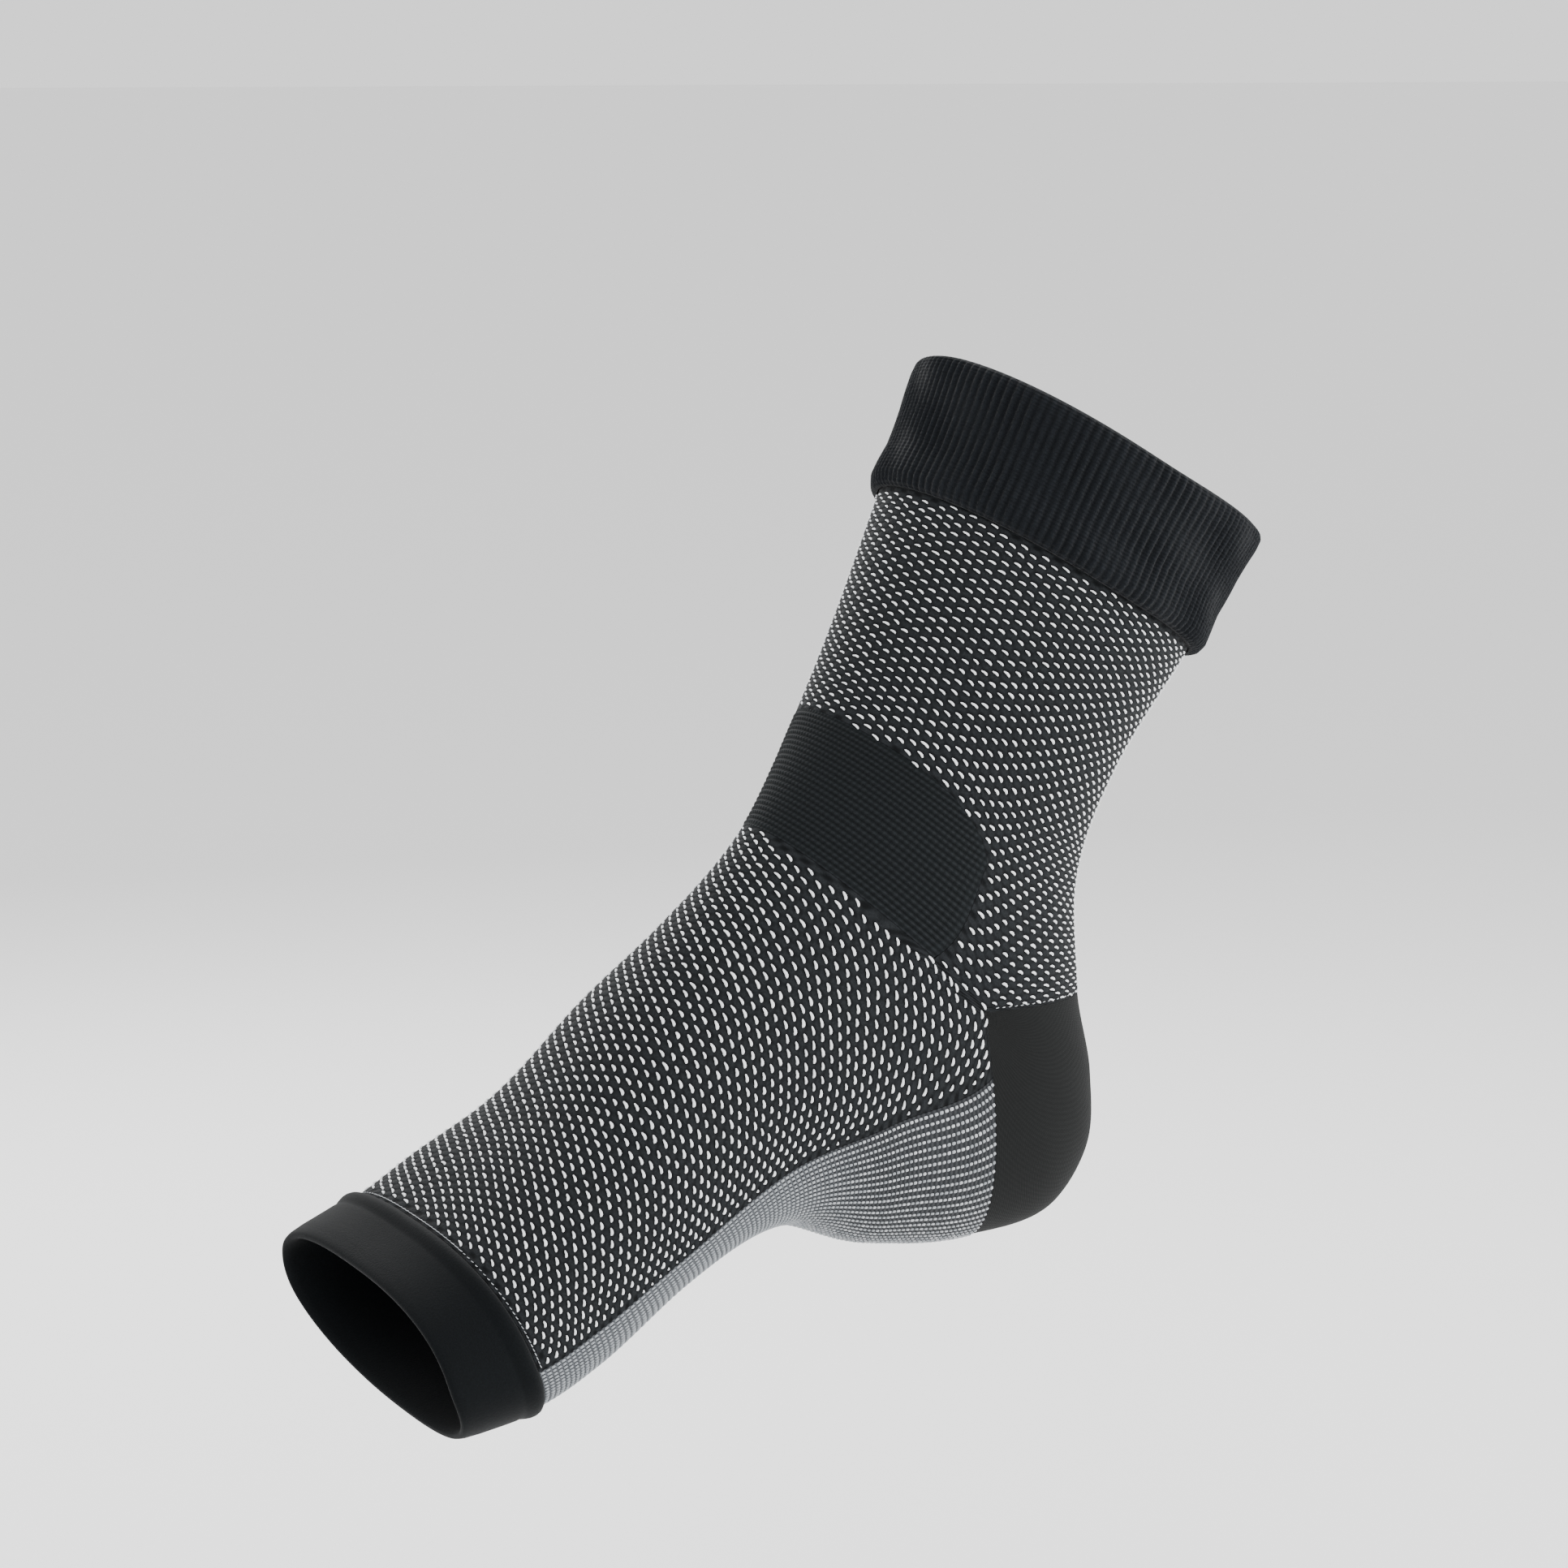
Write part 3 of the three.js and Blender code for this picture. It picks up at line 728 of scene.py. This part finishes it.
# One float, two units long: a thin straight end that swells to a fat end, hooked to one side by a
# number of its half widths
def makeFloatShape(name, segments, rings, hook, swell):
    deselectAll()
    bpy.ops.mesh.primitive_uv_sphere_add(segments=segments, ring_count=rings, radius=1,
                                         rotation=(0, math.pi / 2, 0))
    bpy.ops.object.transform_apply(location=False, rotation=True, scale=False)
    shape = bpy.context.active_object
    shape.name = name
    points = np.array([vertex.co for vertex in shape.data.vertices])
    along = np.sign(points[:, 0]) * np.abs(points[:, 0]) ** 0.8
    fat = (1 - along**4) ** 0.5 * (1 + swell * along)
    ring = np.hypot(points[:, 1], points[:, 2])
    ring = np.where(ring < 1e-6, 1, ring)
    points[:, 1] = points[:, 1] / ring * fat + hook * np.maximum(0, along + 0.1) ** 1.6
    points[:, 2] = points[:, 2] / ring * fat
    points[:, 0] = along
    placePoints(shape, points)
    return shape


# Whether a place lies on the body cloth, at least the margins from its edges
def onBody(course, share, marginCourse, marginShare):
    side = np.abs(share)
    down = (course - panelTop) / panel["height"]
    reach = panelReach(np.clip(down, 0, 1)) + marginShare
    marginDown = marginCourse / panel["height"]
    inPanel = (down > -marginDown) & (down < 1 + marginDown) & (side < reach)
    leg = (course > marginCourse) & (course < corner - np.where(side > 0.25, marginCourse, 0)) & ~inPanel
    last = form["bandCourse"] - stitch["bandMargin"]
    foot = (course >= corner) & (course < last) & (side < form["archEdge"] - marginShare)
    return leg | foot


# Each stitch's place between two courses, found from its wale and row by closing in
def stitchPlaces(first, last):
    rounds = 80
    easing = 0.6
    near = 0.02
    half = drift["wales"] // 2
    rows = np.arange(*drift["rowNumbers"])
    wale = np.repeat(np.arange(-half + 1, half + 1), len(rows)).astype(float)
    row = np.tile(rows, drift["wales"]) + 0.5 * (wale % 2)
    course = np.clip(row, first, last)
    share = wale / drift["wales"]
    for _ in range(rounds):
        waleNow, rowNow = knitPlace(course, share)
        share = np.clip(share + easing * (wale - waleNow) / form["columns"], -0.5, 0.5)
        course = np.clip(course + easing * (row - rowNow), first, last)
    waleNow, rowNow = knitPlace(course, share)
    found = np.hypot(wale - waleNow, row - rowNow) < near
    keep = found & onBody(course, share, stitch["marginCourses"], stitch["marginColumns"] / form["columns"])
    return course[keep], share[keep]


# Adds floats beside the heel's corner, where the rows of the leg and the foot leave room
def fillBreak(legPlaces, footPlaces):
    points = np.vstack([clothPoint(*legPlaces), clothPoint(*footPlaces)])
    course, share = footPlaces
    for column in np.arange(stitch["breakFrom"], form["columns"] / 4, stitch["breakStep"]):
        for turn in (column / form["columns"], -column / form["columns"]):
            spot = clothPoint(np.array([drift["footStart"]]), np.array([turn]))
            if np.linalg.norm(points - spot, axis=1).min() > stitch["breakClear"]:
                points = np.vstack([points, spot])
                course = np.append(course, drift["footStart"])
                share = np.append(share, turn)
    return course, share


# The floats at given places, each a little different, along their row
def makeStitches(name, course, share, shape, material, random):
    point, down, around, normal = clothFrame(course, share)
    across, fall = knitSteps(course, share, down, around)
    count = len(course)
    wale = np.linalg.norm(across, axis=1)
    edge = form["archEdge"] * form["columns"] - np.abs(share) * form["columns"]
    small = np.where(course > corner, np.clip(edge, stitch["edgeSize"], 1), 1)
    length = np.where(course < corner, *stitch["length"]) * wale
    length = np.minimum(length, stitch["longest"]) * random.normal(1, stitch["sizeSpread"], count) * small
    width = np.where(course < corner, *stitch["width"]) * np.linalg.norm(fall, axis=1)
    width = np.clip(width, stitch["narrowest"], stitch["widest"])
    width = np.minimum(width * random.normal(1, stitch["sizeSpread"], count), stitch["stoutest"] * length)
    tilt = np.where(course < corner, *stitch["tilt"])
    tilt = np.radians(tilt + random.normal(0, stitch["tiltSpread"], count))[:, None]
    along = across / wale[:, None]
    side = np.cross(normal, along)
    side *= np.sign(np.sum(side * down, axis=1))[:, None]
    reach = along * np.cos(tilt) + side * np.sin(tilt)
    lean = side * np.cos(tilt) - along * np.sin(tilt)
    point += along * random.normal(0, stitch["slips"][0], count)[:, None]
    point += side * random.normal(0, stitch["slips"][1], count)[:, None]
    point += normal * stitch["height"] * stitch["lift"]
    axes = [reach * (length / 2)[:, None], lean * (width / 2)[:, None], normal * stitch["height"] / 2]
    piece = strewCopies(name, shape, point, axes, random.uniform(0, 1, count))
    finishPiece(piece, "knit_body", [material])
    return piece


random = np.random.default_rng(stitch["seed"])
floatShape = makeFloatShape("floatShape", *stitch["shape"])
whiteYarn = makeFloatYarn("whitePolyamideFloat", floatYarn["dull"], floatYarn["bright"])
legPlaces = stitchPlaces(0, drift["legEnd"])
footPlaces = stitchPlaces(drift["footStart"], form["bandCourse"])
footPlaces = fillBreak(legPlaces, footPlaces)
legStitches = makeStitches("legStitches", *legPlaces, floatShape, whiteYarn, random)
footStitches = makeStitches("footStitches", *footPlaces, floatShape, whiteYarn, random)

# Seams: a thin line of the white yarn where the body is joined to the heel and to the toe band

seam = {
    "heelCourse": 0.3,           # above the heel's corner course
    "heelFrom": 0.262,           # share of the way round at which the heel's ticks start
    "bandCourse": 0.3,           # before the toe band
    "bandMargin": 0.5,           # columns between its last tick and the arch panel
    "step": 0.62,                # columns between two ticks
    "lineTo": 8,                 # columns from the front, up to which the band's ticks meet in a line
    "tick": 0.0009,
    "dash": 0.0019,
    "width": 0.00022,
    "lift": 0.0001,
    "bright": "#c3c6c9",
    "dull": "#85888c",
}


# Grey linking yarn, sewn tight: thin short dashes with little shine
def makeSeams():
    start = seam["heelFrom"] * form["columns"]
    heelColumns = np.arange(start, form["columns"] - start, seam["step"])
    bandEnd = form["archEdge"] * form["columns"] - seam["bandMargin"]
    bandColumns = np.arange(-bandEnd, bandEnd, seam["step"])
    course = np.concatenate([
        np.full(len(heelColumns), corner - seam["heelCourse"]),
        np.full(len(bandColumns), form["bandCourse"] - seam["bandCourse"]),
    ])
    turn = np.concatenate([heelColumns, bandColumns]) / form["columns"]
    turn = np.where(turn > 0.5, turn - 1, turn)
    point, _, around, normal = clothFrame(course, turn)
    inLine = (course > corner) & (np.abs(turn) * form["columns"] < seam["lineTo"])
    along = unit(around)
    side = np.cross(normal, along)
    length = np.where(inLine, seam["dash"], seam["tick"])[:, None]
    axes = [along * length / 2, side * seam["width"] / 2, normal * seam["width"] / 2]
    point += normal * seam["lift"]
    piece = strewCopies("seamTicks", floatShape, point, axes, random.uniform(0, 1, len(turn)))
    linking = makeFloatYarn("greyLinkingYarn", seam["dull"], seam["bright"])
    finishPiece(piece, "knit_body", [linking])
    return piece


seamTicks = makeSeams()

# The instep panel: plain knit whose rows stand out as fine ridges

def makePanel():
    courses = np.linspace(panelTop, panelBottom, panel["height"] * panel["rowsPerCourse"] + 1)
    piece, column, row = chartGrid("instepPanel", panel["columns"], len(courses) - 1)
    course = courses[row]
    share = panelReach((course - panelTop) / panel["height"]) * (2 * column / panel["columns"] - 1)
    mapKnit(piece, share * form["columns"], course)
    point, _, _, normal = clothFrame(course, share)
    edge = np.minimum.reduce([
        (course - panelTop) * panel["endFade"], (panelBottom - course) * panel["endFade"],
        (1 - np.abs(2 * column / panel["columns"] - 1)) * panel["sideFade"], np.ones(len(course)),
    ])
    ridge = panel["ridge"] * np.cos(4 * np.pi * course) * edge
    placePoints(piece, point + normal * ridge[:, None])
    thicken(piece, form["wall"])
    return piece


instepPanel = makePanel()
finishPiece(instepPanel, "instep_panel",
            fineKnits("plainNylonPanelKnit", "plainNylonPanelLining", panel))

# The heel pocket: fine plain jersey turned round the heel between two corners

heel = {
    "columns": 84,
    "rows": 67,
    "yarn": ("#191a1a", "#222425"),        # outside and lining
    # painted shade in the grooves between rows and loops, outside and lining
    "shadeAndMottle": ("#0c0d0d", "#131415"),
    "relief": (0.00008, 0.0001),
    "knitRows": 4,               # to a course
    "ease": 40,                  # share of its inset that each edge gains in a turn from the corners
}


def makeHeel():
    piece, column, row = chartGrid("heelPocket", heel["columns"], heel["rows"])
    share = 0.25 + 0.5 * column / heel["columns"]
    inset = form["edgeGap"] * np.clip(np.minimum(share - 0.25, 0.75 - share) * heel["ease"], 0, 1)
    turned = form["heelCourses"] * row / heel["rows"]
    turned = np.clip(turned, inset, form["heelCourses"] - inset)
    course = np.full(len(share), corner)
    mapKnit(piece, share * form["columns"], turned)
    placePoints(piece, clothPoint(course, share, corner + turned))
    weld(piece)
    thicken(piece, form["wall"])
    return piece


heelPocket = makeHeel()
finishPiece(heelPocket, "heel_pocket",
            fineKnits("charcoalHeelJersey", "charcoalHeelLining", heel))

# The arch panel: elastic rib knit of light grey yarn, in rows of small beads near the heel that
# close up to a light cloth under the arch

arch = {
    "columns": 70,
    "rowsPerCourse": 2,
    "light": "#5b5e62",
    "dark": "#222427",
    "fadeFrom": 47,              # courses between which the dark gaps close
    "fadeTo": 61,
    "relief": 0.0003,            # of the ribs
    "fibre": 0.0007,
    "roughness": 0.8,
    "sheen": 0.05,
    "shine": 0.2,
    "firstRow": 0.004,           # of a turn from the panel's edge to the first row of beads
    "rowStep": 0.0066,           # of a turn between two rows, at the panel's edge
    "rowSpread": 0.00004,        # by which that grows from row to row
    "beadStep": 0.5,             # courses between two beads of a row
    "beadMargins": (0.25, 0.2),  # courses left clear at the heel and at the toe band
    "beadLength": (0.36, 0.02),  # half a bead's, as a share of its step, and what the fade adds
    "beadWidth": (0.21, 0.13),   # half a bead's, as a share of the rows' distance, and the same
    "beadSpread": (0.05, 0.06),  # shares by which lengths and widths differ
    "widthSpare": 0.0008,        # of a turn, added to the rows' distance for the rows far from the edge
    "beadHeight": 0.0006,
    "beadShape": (5, 4, 0, 0),   # segments and rings, with no hook or swell
    "beadLift": 0.0001,
    "bright": "#c0c2c5",
    "dull": "#6c7277",
    "toneFade": 0.9,             # share by which the fade darkens the beads
    "seed": 11,
}


def makeArch():
    courses = evenRows(corner + form["edgeGap"], form["bandCourse"] - form["edgeGap"], arch["rowsPerCourse"])
    piece, column, row = chartGrid("archPanel", arch["columns"], len(courses) - 1)
    course = courses[row]
    first = form["archEdge"] + form["edgeGap"] / 100
    share = first + (1 - 2 * first) * column / arch["columns"]
    mapKnit(piece, share * form["columns"], course)
    placePoints(piece, clothPoint(course, share, course + form["heelCourses"]))
    thicken(piece, form["wall"])
    return piece


# Elastic rib of covered rubber and pale nylon: light ridges over dark gaps, where the fade lets them
def makeArchKnit(name):
    material, tree = newMaterial(name)
    _, along, _ = knitCoordinates(tree)
    fade = addNode(tree, "MapRange", {
        "Value": along, "From Min": arch["fadeFrom"], "From Max": arch["fadeTo"],
    }, interpolation_type="SMOOTHSTEP")[0]
    row = knitWave(tree, along, 4 * math.pi)
    row = addNode(tree, "Math", [row, 0.5, 0.5], operation="MULTIPLY_ADD")[0]
    fuzz = fibreNoise(tree, arch["fibre"])
    light = addNode(tree, "Math", [row, fuzz], operation="MULTIPLY")[0]
    shade = addNode(tree, "Math", [fade, light], operation="MULTIPLY")[0]
    shade = addNode(tree, "Math", [shade, 1.5], operation="MULTIPLY")[0]
    finishCloth(tree, shade, arch["dark"], arch["light"], row, arch["relief"],
                arch["roughness"], arch["sheen"], arch["shine"])
    return material


archPanel = makeArch()
finishPiece(archPanel, "arch_panel", [
    makeArchKnit("greyElasticRib"), makeArchKnit("greyElasticRibLining"),
])


# Covered elastic yarn laid in rows: short grey beads with a slight shine, duller under the arch
def makeBeads():
    random = np.random.default_rng(arch["seed"])
    rows = []
    step = 0
    while True:
        inward = arch["firstRow"] + arch["rowStep"] * step + arch["rowSpread"] * step**2
        share = form["archEdge"] + inward
        if share > 0.5:
            break
        rows += [share, -share]
        step += 1
    start, end = arch["beadMargins"]
    places = np.arange(corner + start, form["bandCourse"] - end, arch["beadStep"])
    share = np.repeat(rows, len(places))
    course = np.tile(places, len(rows))
    count = len(course)
    point, down, around, normal = clothFrame(course, share)
    fade = np.clip((course - arch["fadeFrom"]) / (arch["fadeTo"] - arch["fadeFrom"]), 0, 1)
    fall = np.linalg.norm(down, axis=1) * arch["beadStep"]
    pitch = np.linalg.norm(around, axis=1) * form["columns"] * (arch["rowStep"] + arch["widthSpare"])
    along = unit(down)
    side = np.cross(normal, along)
    long, longer = arch["beadLength"]
    wide, wider = arch["beadWidth"]
    halfAlong = fall * (long + longer * fade) * random.normal(1, arch["beadSpread"][0], count)
    halfAcross = pitch * (wide + wider * fade) * random.normal(1, arch["beadSpread"][1], count)
    point = point + normal * arch["beadLift"]
    axes = [along * halfAlong[:, None], side * halfAcross[:, None], normal * arch["beadHeight"] / 2]
    bead = makeFloatShape("beadShape", *arch["beadShape"])
    tones = random.uniform(0, 1, count) * (1 - arch["toneFade"] * fade)
    piece = strewCopies("archBeads", bead, point, axes, tones)
    bpy.data.objects.remove(bead)
    elastic = makeFloatYarn("greyCoveredElastic", arch["dull"], arch["bright"])
    finishPiece(piece, "arch_panel", [elastic])
    return piece


archBeads = makeBeads()

# The cuff: a ribbed double welt, folded at its rim and sewn over the body at its hem

cuff = {
    "ribs": 120,
    "columnsPerRib": 6,
    "proud": 0.003,
    "lining": 0.0014,
    "gap": 0.0003,
    "rib": 0.0003,               # relief of the ribs
    "unevenness": 0.6,           # share by which the relief comes and goes
    "liningRib": 0.6,            # of the relief, on the lining
    "yarn": "#181b1f",
    # painted shade: the colour between the ribs, and of the fuzz's dark flecks
    "shadeAndMottle": "#050608",
    "relief": 0.0005,            # of the loops and the fuzz
    "fibre": 0.0009,
    "loop": 0.9,                 # mm between two loops of a rib
    "sheen": 0.05,
    "points": 64,                # round the profile
    "outer": [(0, 0.4), (0.03, 0.8), (0.09, 1), (0.18, 0.88), (0.32, 0.62), (0.6, 0.55), (0.88, 0.66),
              (0.97, 0.55), (1, 0.2)],
    "inner": [(1, 0.35), (0.965, 1), (0.6, 1)],
}


# Even steps along a path of flat points
def walkPath(path, count):
    path = np.array(path, float)
    lengths = np.linalg.norm(np.diff(path, axis=0), axis=1)
    at = np.concatenate([[0], np.cumsum(lengths)])
    where = np.linspace(0, at[-1], count)
    return np.column_stack([np.interp(where, at, path[:, k]) for k in (0, 1)])


# Lays a closed profile round the sleeve. Its points are lengths along the cloth and heights over it.
def ringPiece(name, columns, profile, toCourse, relief, unitsAround):
    piece, column, row = chartGrid(name, columns, len(profile) - 1)
    share = column / columns
    course = toCourse(profile[row, 0])
    point, _, _, normal = clothFrame(course, share)
    height = profile[row, 1] + relief(share, row, profile)
    mapKnit(piece, share * unitsAround, profile[row, 0] * 1000)
    placePoints(piece, point + normal * height[:, None])
    weld(piece)
    editWhole(piece, bpy.ops.mesh.normals_make_consistent, inside=False)
    smoothShade(piece)
    return piece


def makeCuff():
    height = form["cuffHeight"]
    ledge = form["tuck"] + cuff["gap"]
    path = [(0, cuff["gap"]), (ledge, cuff["gap"]), (ledge, -cuff["lining"])]
    path += [(along * height, -out * cuff["lining"]) for along, out in reversed(cuff["inner"])]
    path += [(along * height, out * cuff["proud"]) for along, out in reversed(cuff["outer"])]
    path += [path[0]]
    profile = walkPath(path, cuff["points"] + 1)

    def relief(share, row, profile):
        outside = np.clip(profile[row, 1] / 0.001, 0, 1)
        inside = np.clip(-profile[row, 1] / 0.001, 0, 1)
        high = profile[row, 0] / height
        worn = np.sin(2 * np.pi * (9 * share + 1.1 * high)) * np.sin(2 * np.pi * (4 * share - 0.8 * high))
        wave = np.cos(2 * np.pi * cuff["ribs"] * share) * (1 + cuff["unevenness"] * worn)
        return cuff["rib"] * wave * (outside - cuff["liningRib"] * inside)

    return ringPiece("ankleCuff", cuff["ribs"] * cuff["columnsPerRib"], profile,
                     lambda along: -form["cuffCourses"] * along / height, relief, cuff["ribs"])


# Ribbed welt of textured black nylon: soft ribs that look woolly, as loose fibres scatter the light.
# Over the ribs' relief, painted shade darkens the valleys between them and a painted highlight lightens
# their tops.
def makeRibKnit(name):
    material, tree = newMaterial(name)
    across, along, _ = knitCoordinates(tree)
    # Painted shade and highlight: the rib wave darkens the colour between the ribs and lightens it on their
    # tops
    rib = knitWave(tree, across, 2 * math.pi)
    rib = addNode(tree, "Math", [rib, 0.35, 0.8], operation="MULTIPLY_ADD")[0]
    loop = knitWave(tree, along, 2 * math.pi / cuff["loop"])
    fuzz = fibreNoise(tree, cuff["fibre"], 4)
    height = addNode(tree, "Math", [loop, 0.15, fuzz], operation="MULTIPLY_ADD")[0]
    shade = addNode(tree, "Math", [rib, fuzz], operation="MULTIPLY")[0]
    finishCloth(tree, shade, cuff["shadeAndMottle"], cuff["yarn"], height, cuff["relief"], sheen=cuff["sheen"])
    return material


ankleCuff = makeCuff()
finishPiece(ankleCuff, "ankle_cuff", [makeRibKnit("blackRibbedWelt")])

# The toe band: a smooth turned edge, sewn down along a groove

toeBand = {
    "columns": 336,
    "proud": 0.001,
    "lining": 0.0016,
    "start": 0.00015,            # from the body's end to the band
    "points": 56,
    "outer": [(0, 0.5), (0.03, 1.4), (0.07, 1.8), (0.13, 1.8), (0.2, 1.4), (0.25, 0.9), (0.29, 1.1),
              (0.45, 1.05), (0.75, 0.95), (0.93, 0.7), (1, 0.2)],
    "inner": [(1, 0.55), (0.93, 1), (0.5, 1), (0, 0.94)],
    "yarn": "#0c0f11",
    "shadeAndMottle": "#040506",
    "relief": 0.00012,
    "fibre": 0.0005,
    "roughness": 0.8,
}


def makeToeBand():
    width = form["bandWidth"]
    start = toeBand["start"]

    def reach(along):
        return start + along * (width - start)

    path = [(reach(along), out * toeBand["proud"]) for along, out in toeBand["outer"]]
    path += [(reach(along), -out * toeBand["lining"]) for along, out in toeBand["inner"]]
    path += [path[0]]
    profile = walkPath(path, toeBand["points"] + 1)
    return ringPiece("toeBand", toeBand["columns"], profile,
                     lambda along: form["bandCourse"] + form["bandCourses"] * along / width,
                     lambda share, row, profile: np.zeros(len(share)), form["columns"] * 2)


# Turned welt of fine black nylon jersey: smooth and matt, its loops too fine to see
def makeBandKnit(name):
    material, tree = newMaterial(name)
    fuzz = fibreNoise(tree, toeBand["fibre"], 4)
    finishCloth(tree, fuzz, toeBand["shadeAndMottle"], toeBand["yarn"], fuzz, toeBand["relief"],
                toeBand["roughness"])
    return material


toeBandPiece = makeToeBand()
finishPiece(toeBandPiece, "toe_band", [makeBandKnit("blackSmoothWelt")])

bpy.data.objects.remove(floatShape)

# Wear stretches each cloth by about a seventh over its unworn size
print("cloths declared")

# Stage: a pale floor below the held-up sleeve, and soft studio light

stage = {
    "floorBelow": 0.22,          # under the sleeve's lowest point
    "floorSize": 120,
    "floorColour": "#f4f4f4",
    "floorRoughness": 0.9,
    "worldColour": "#ffffff",
    "worldStrength": 1.3,
    "aim": (-0.03, 0, 0),
    "lights": {                  # each one's place, size and power
        "key": [(-0.9, -1.3, 1.2), 0.9, 28],
        "fill": [(1.3, -0.9, 0.4), 1.2, 34],
        "rim": [(0.2, 1.4, 0.9), 1.0, 26],
    },
}


# Matt painted board: pale and even, so that only the sleeve draws the eye
def addStage():
    low = cadBox[0][2] - stage["floorBelow"]
    deselectAll()
    bpy.ops.mesh.primitive_plane_add(size=stage["floorSize"], location=(0, 0, low))
    floor = bpy.context.active_object
    floor.name = "paleFloor"
    material, tree = newMaterial("paleFloor")
    shader = addNode(tree, "BsdfPrincipled", {
        "Base Color": hexColour(stage["floorColour"]),
        "Roughness": stage["floorRoughness"],
    })[0]
    addNode(tree, "OutputMaterial", [shader])
    floor.data.materials.append(material)


def addLight(name, place, size, power):
    bpy.ops.object.light_add(type="AREA", location=place)
    light = bpy.context.active_object
    light.name = name
    light.data.size = size
    light.data.energy = power
    direction = np.array(stage["aim"]) - np.array(place)
    turn = math.atan2(direction[1], direction[0]) - math.pi / 2
    tip = math.atan2(math.hypot(direction[0], direction[1]), -direction[2])
    light.rotation_euler = (tip, 0, turn)


def addWorld():
    world = bpy.data.worlds.new("studio")
    world.use_nodes = True
    background = world.node_tree.nodes["Background"]
    background.inputs[0].default_value = hexColour(stage["worldColour"])
    background.inputs[1].default_value = stage["worldStrength"]
    bpy.context.scene.world = world


addStage()
for name, (place, size, power) in stage["lights"].items():
    addLight(name, place, size, power)
addWorld()
print("stage lit")
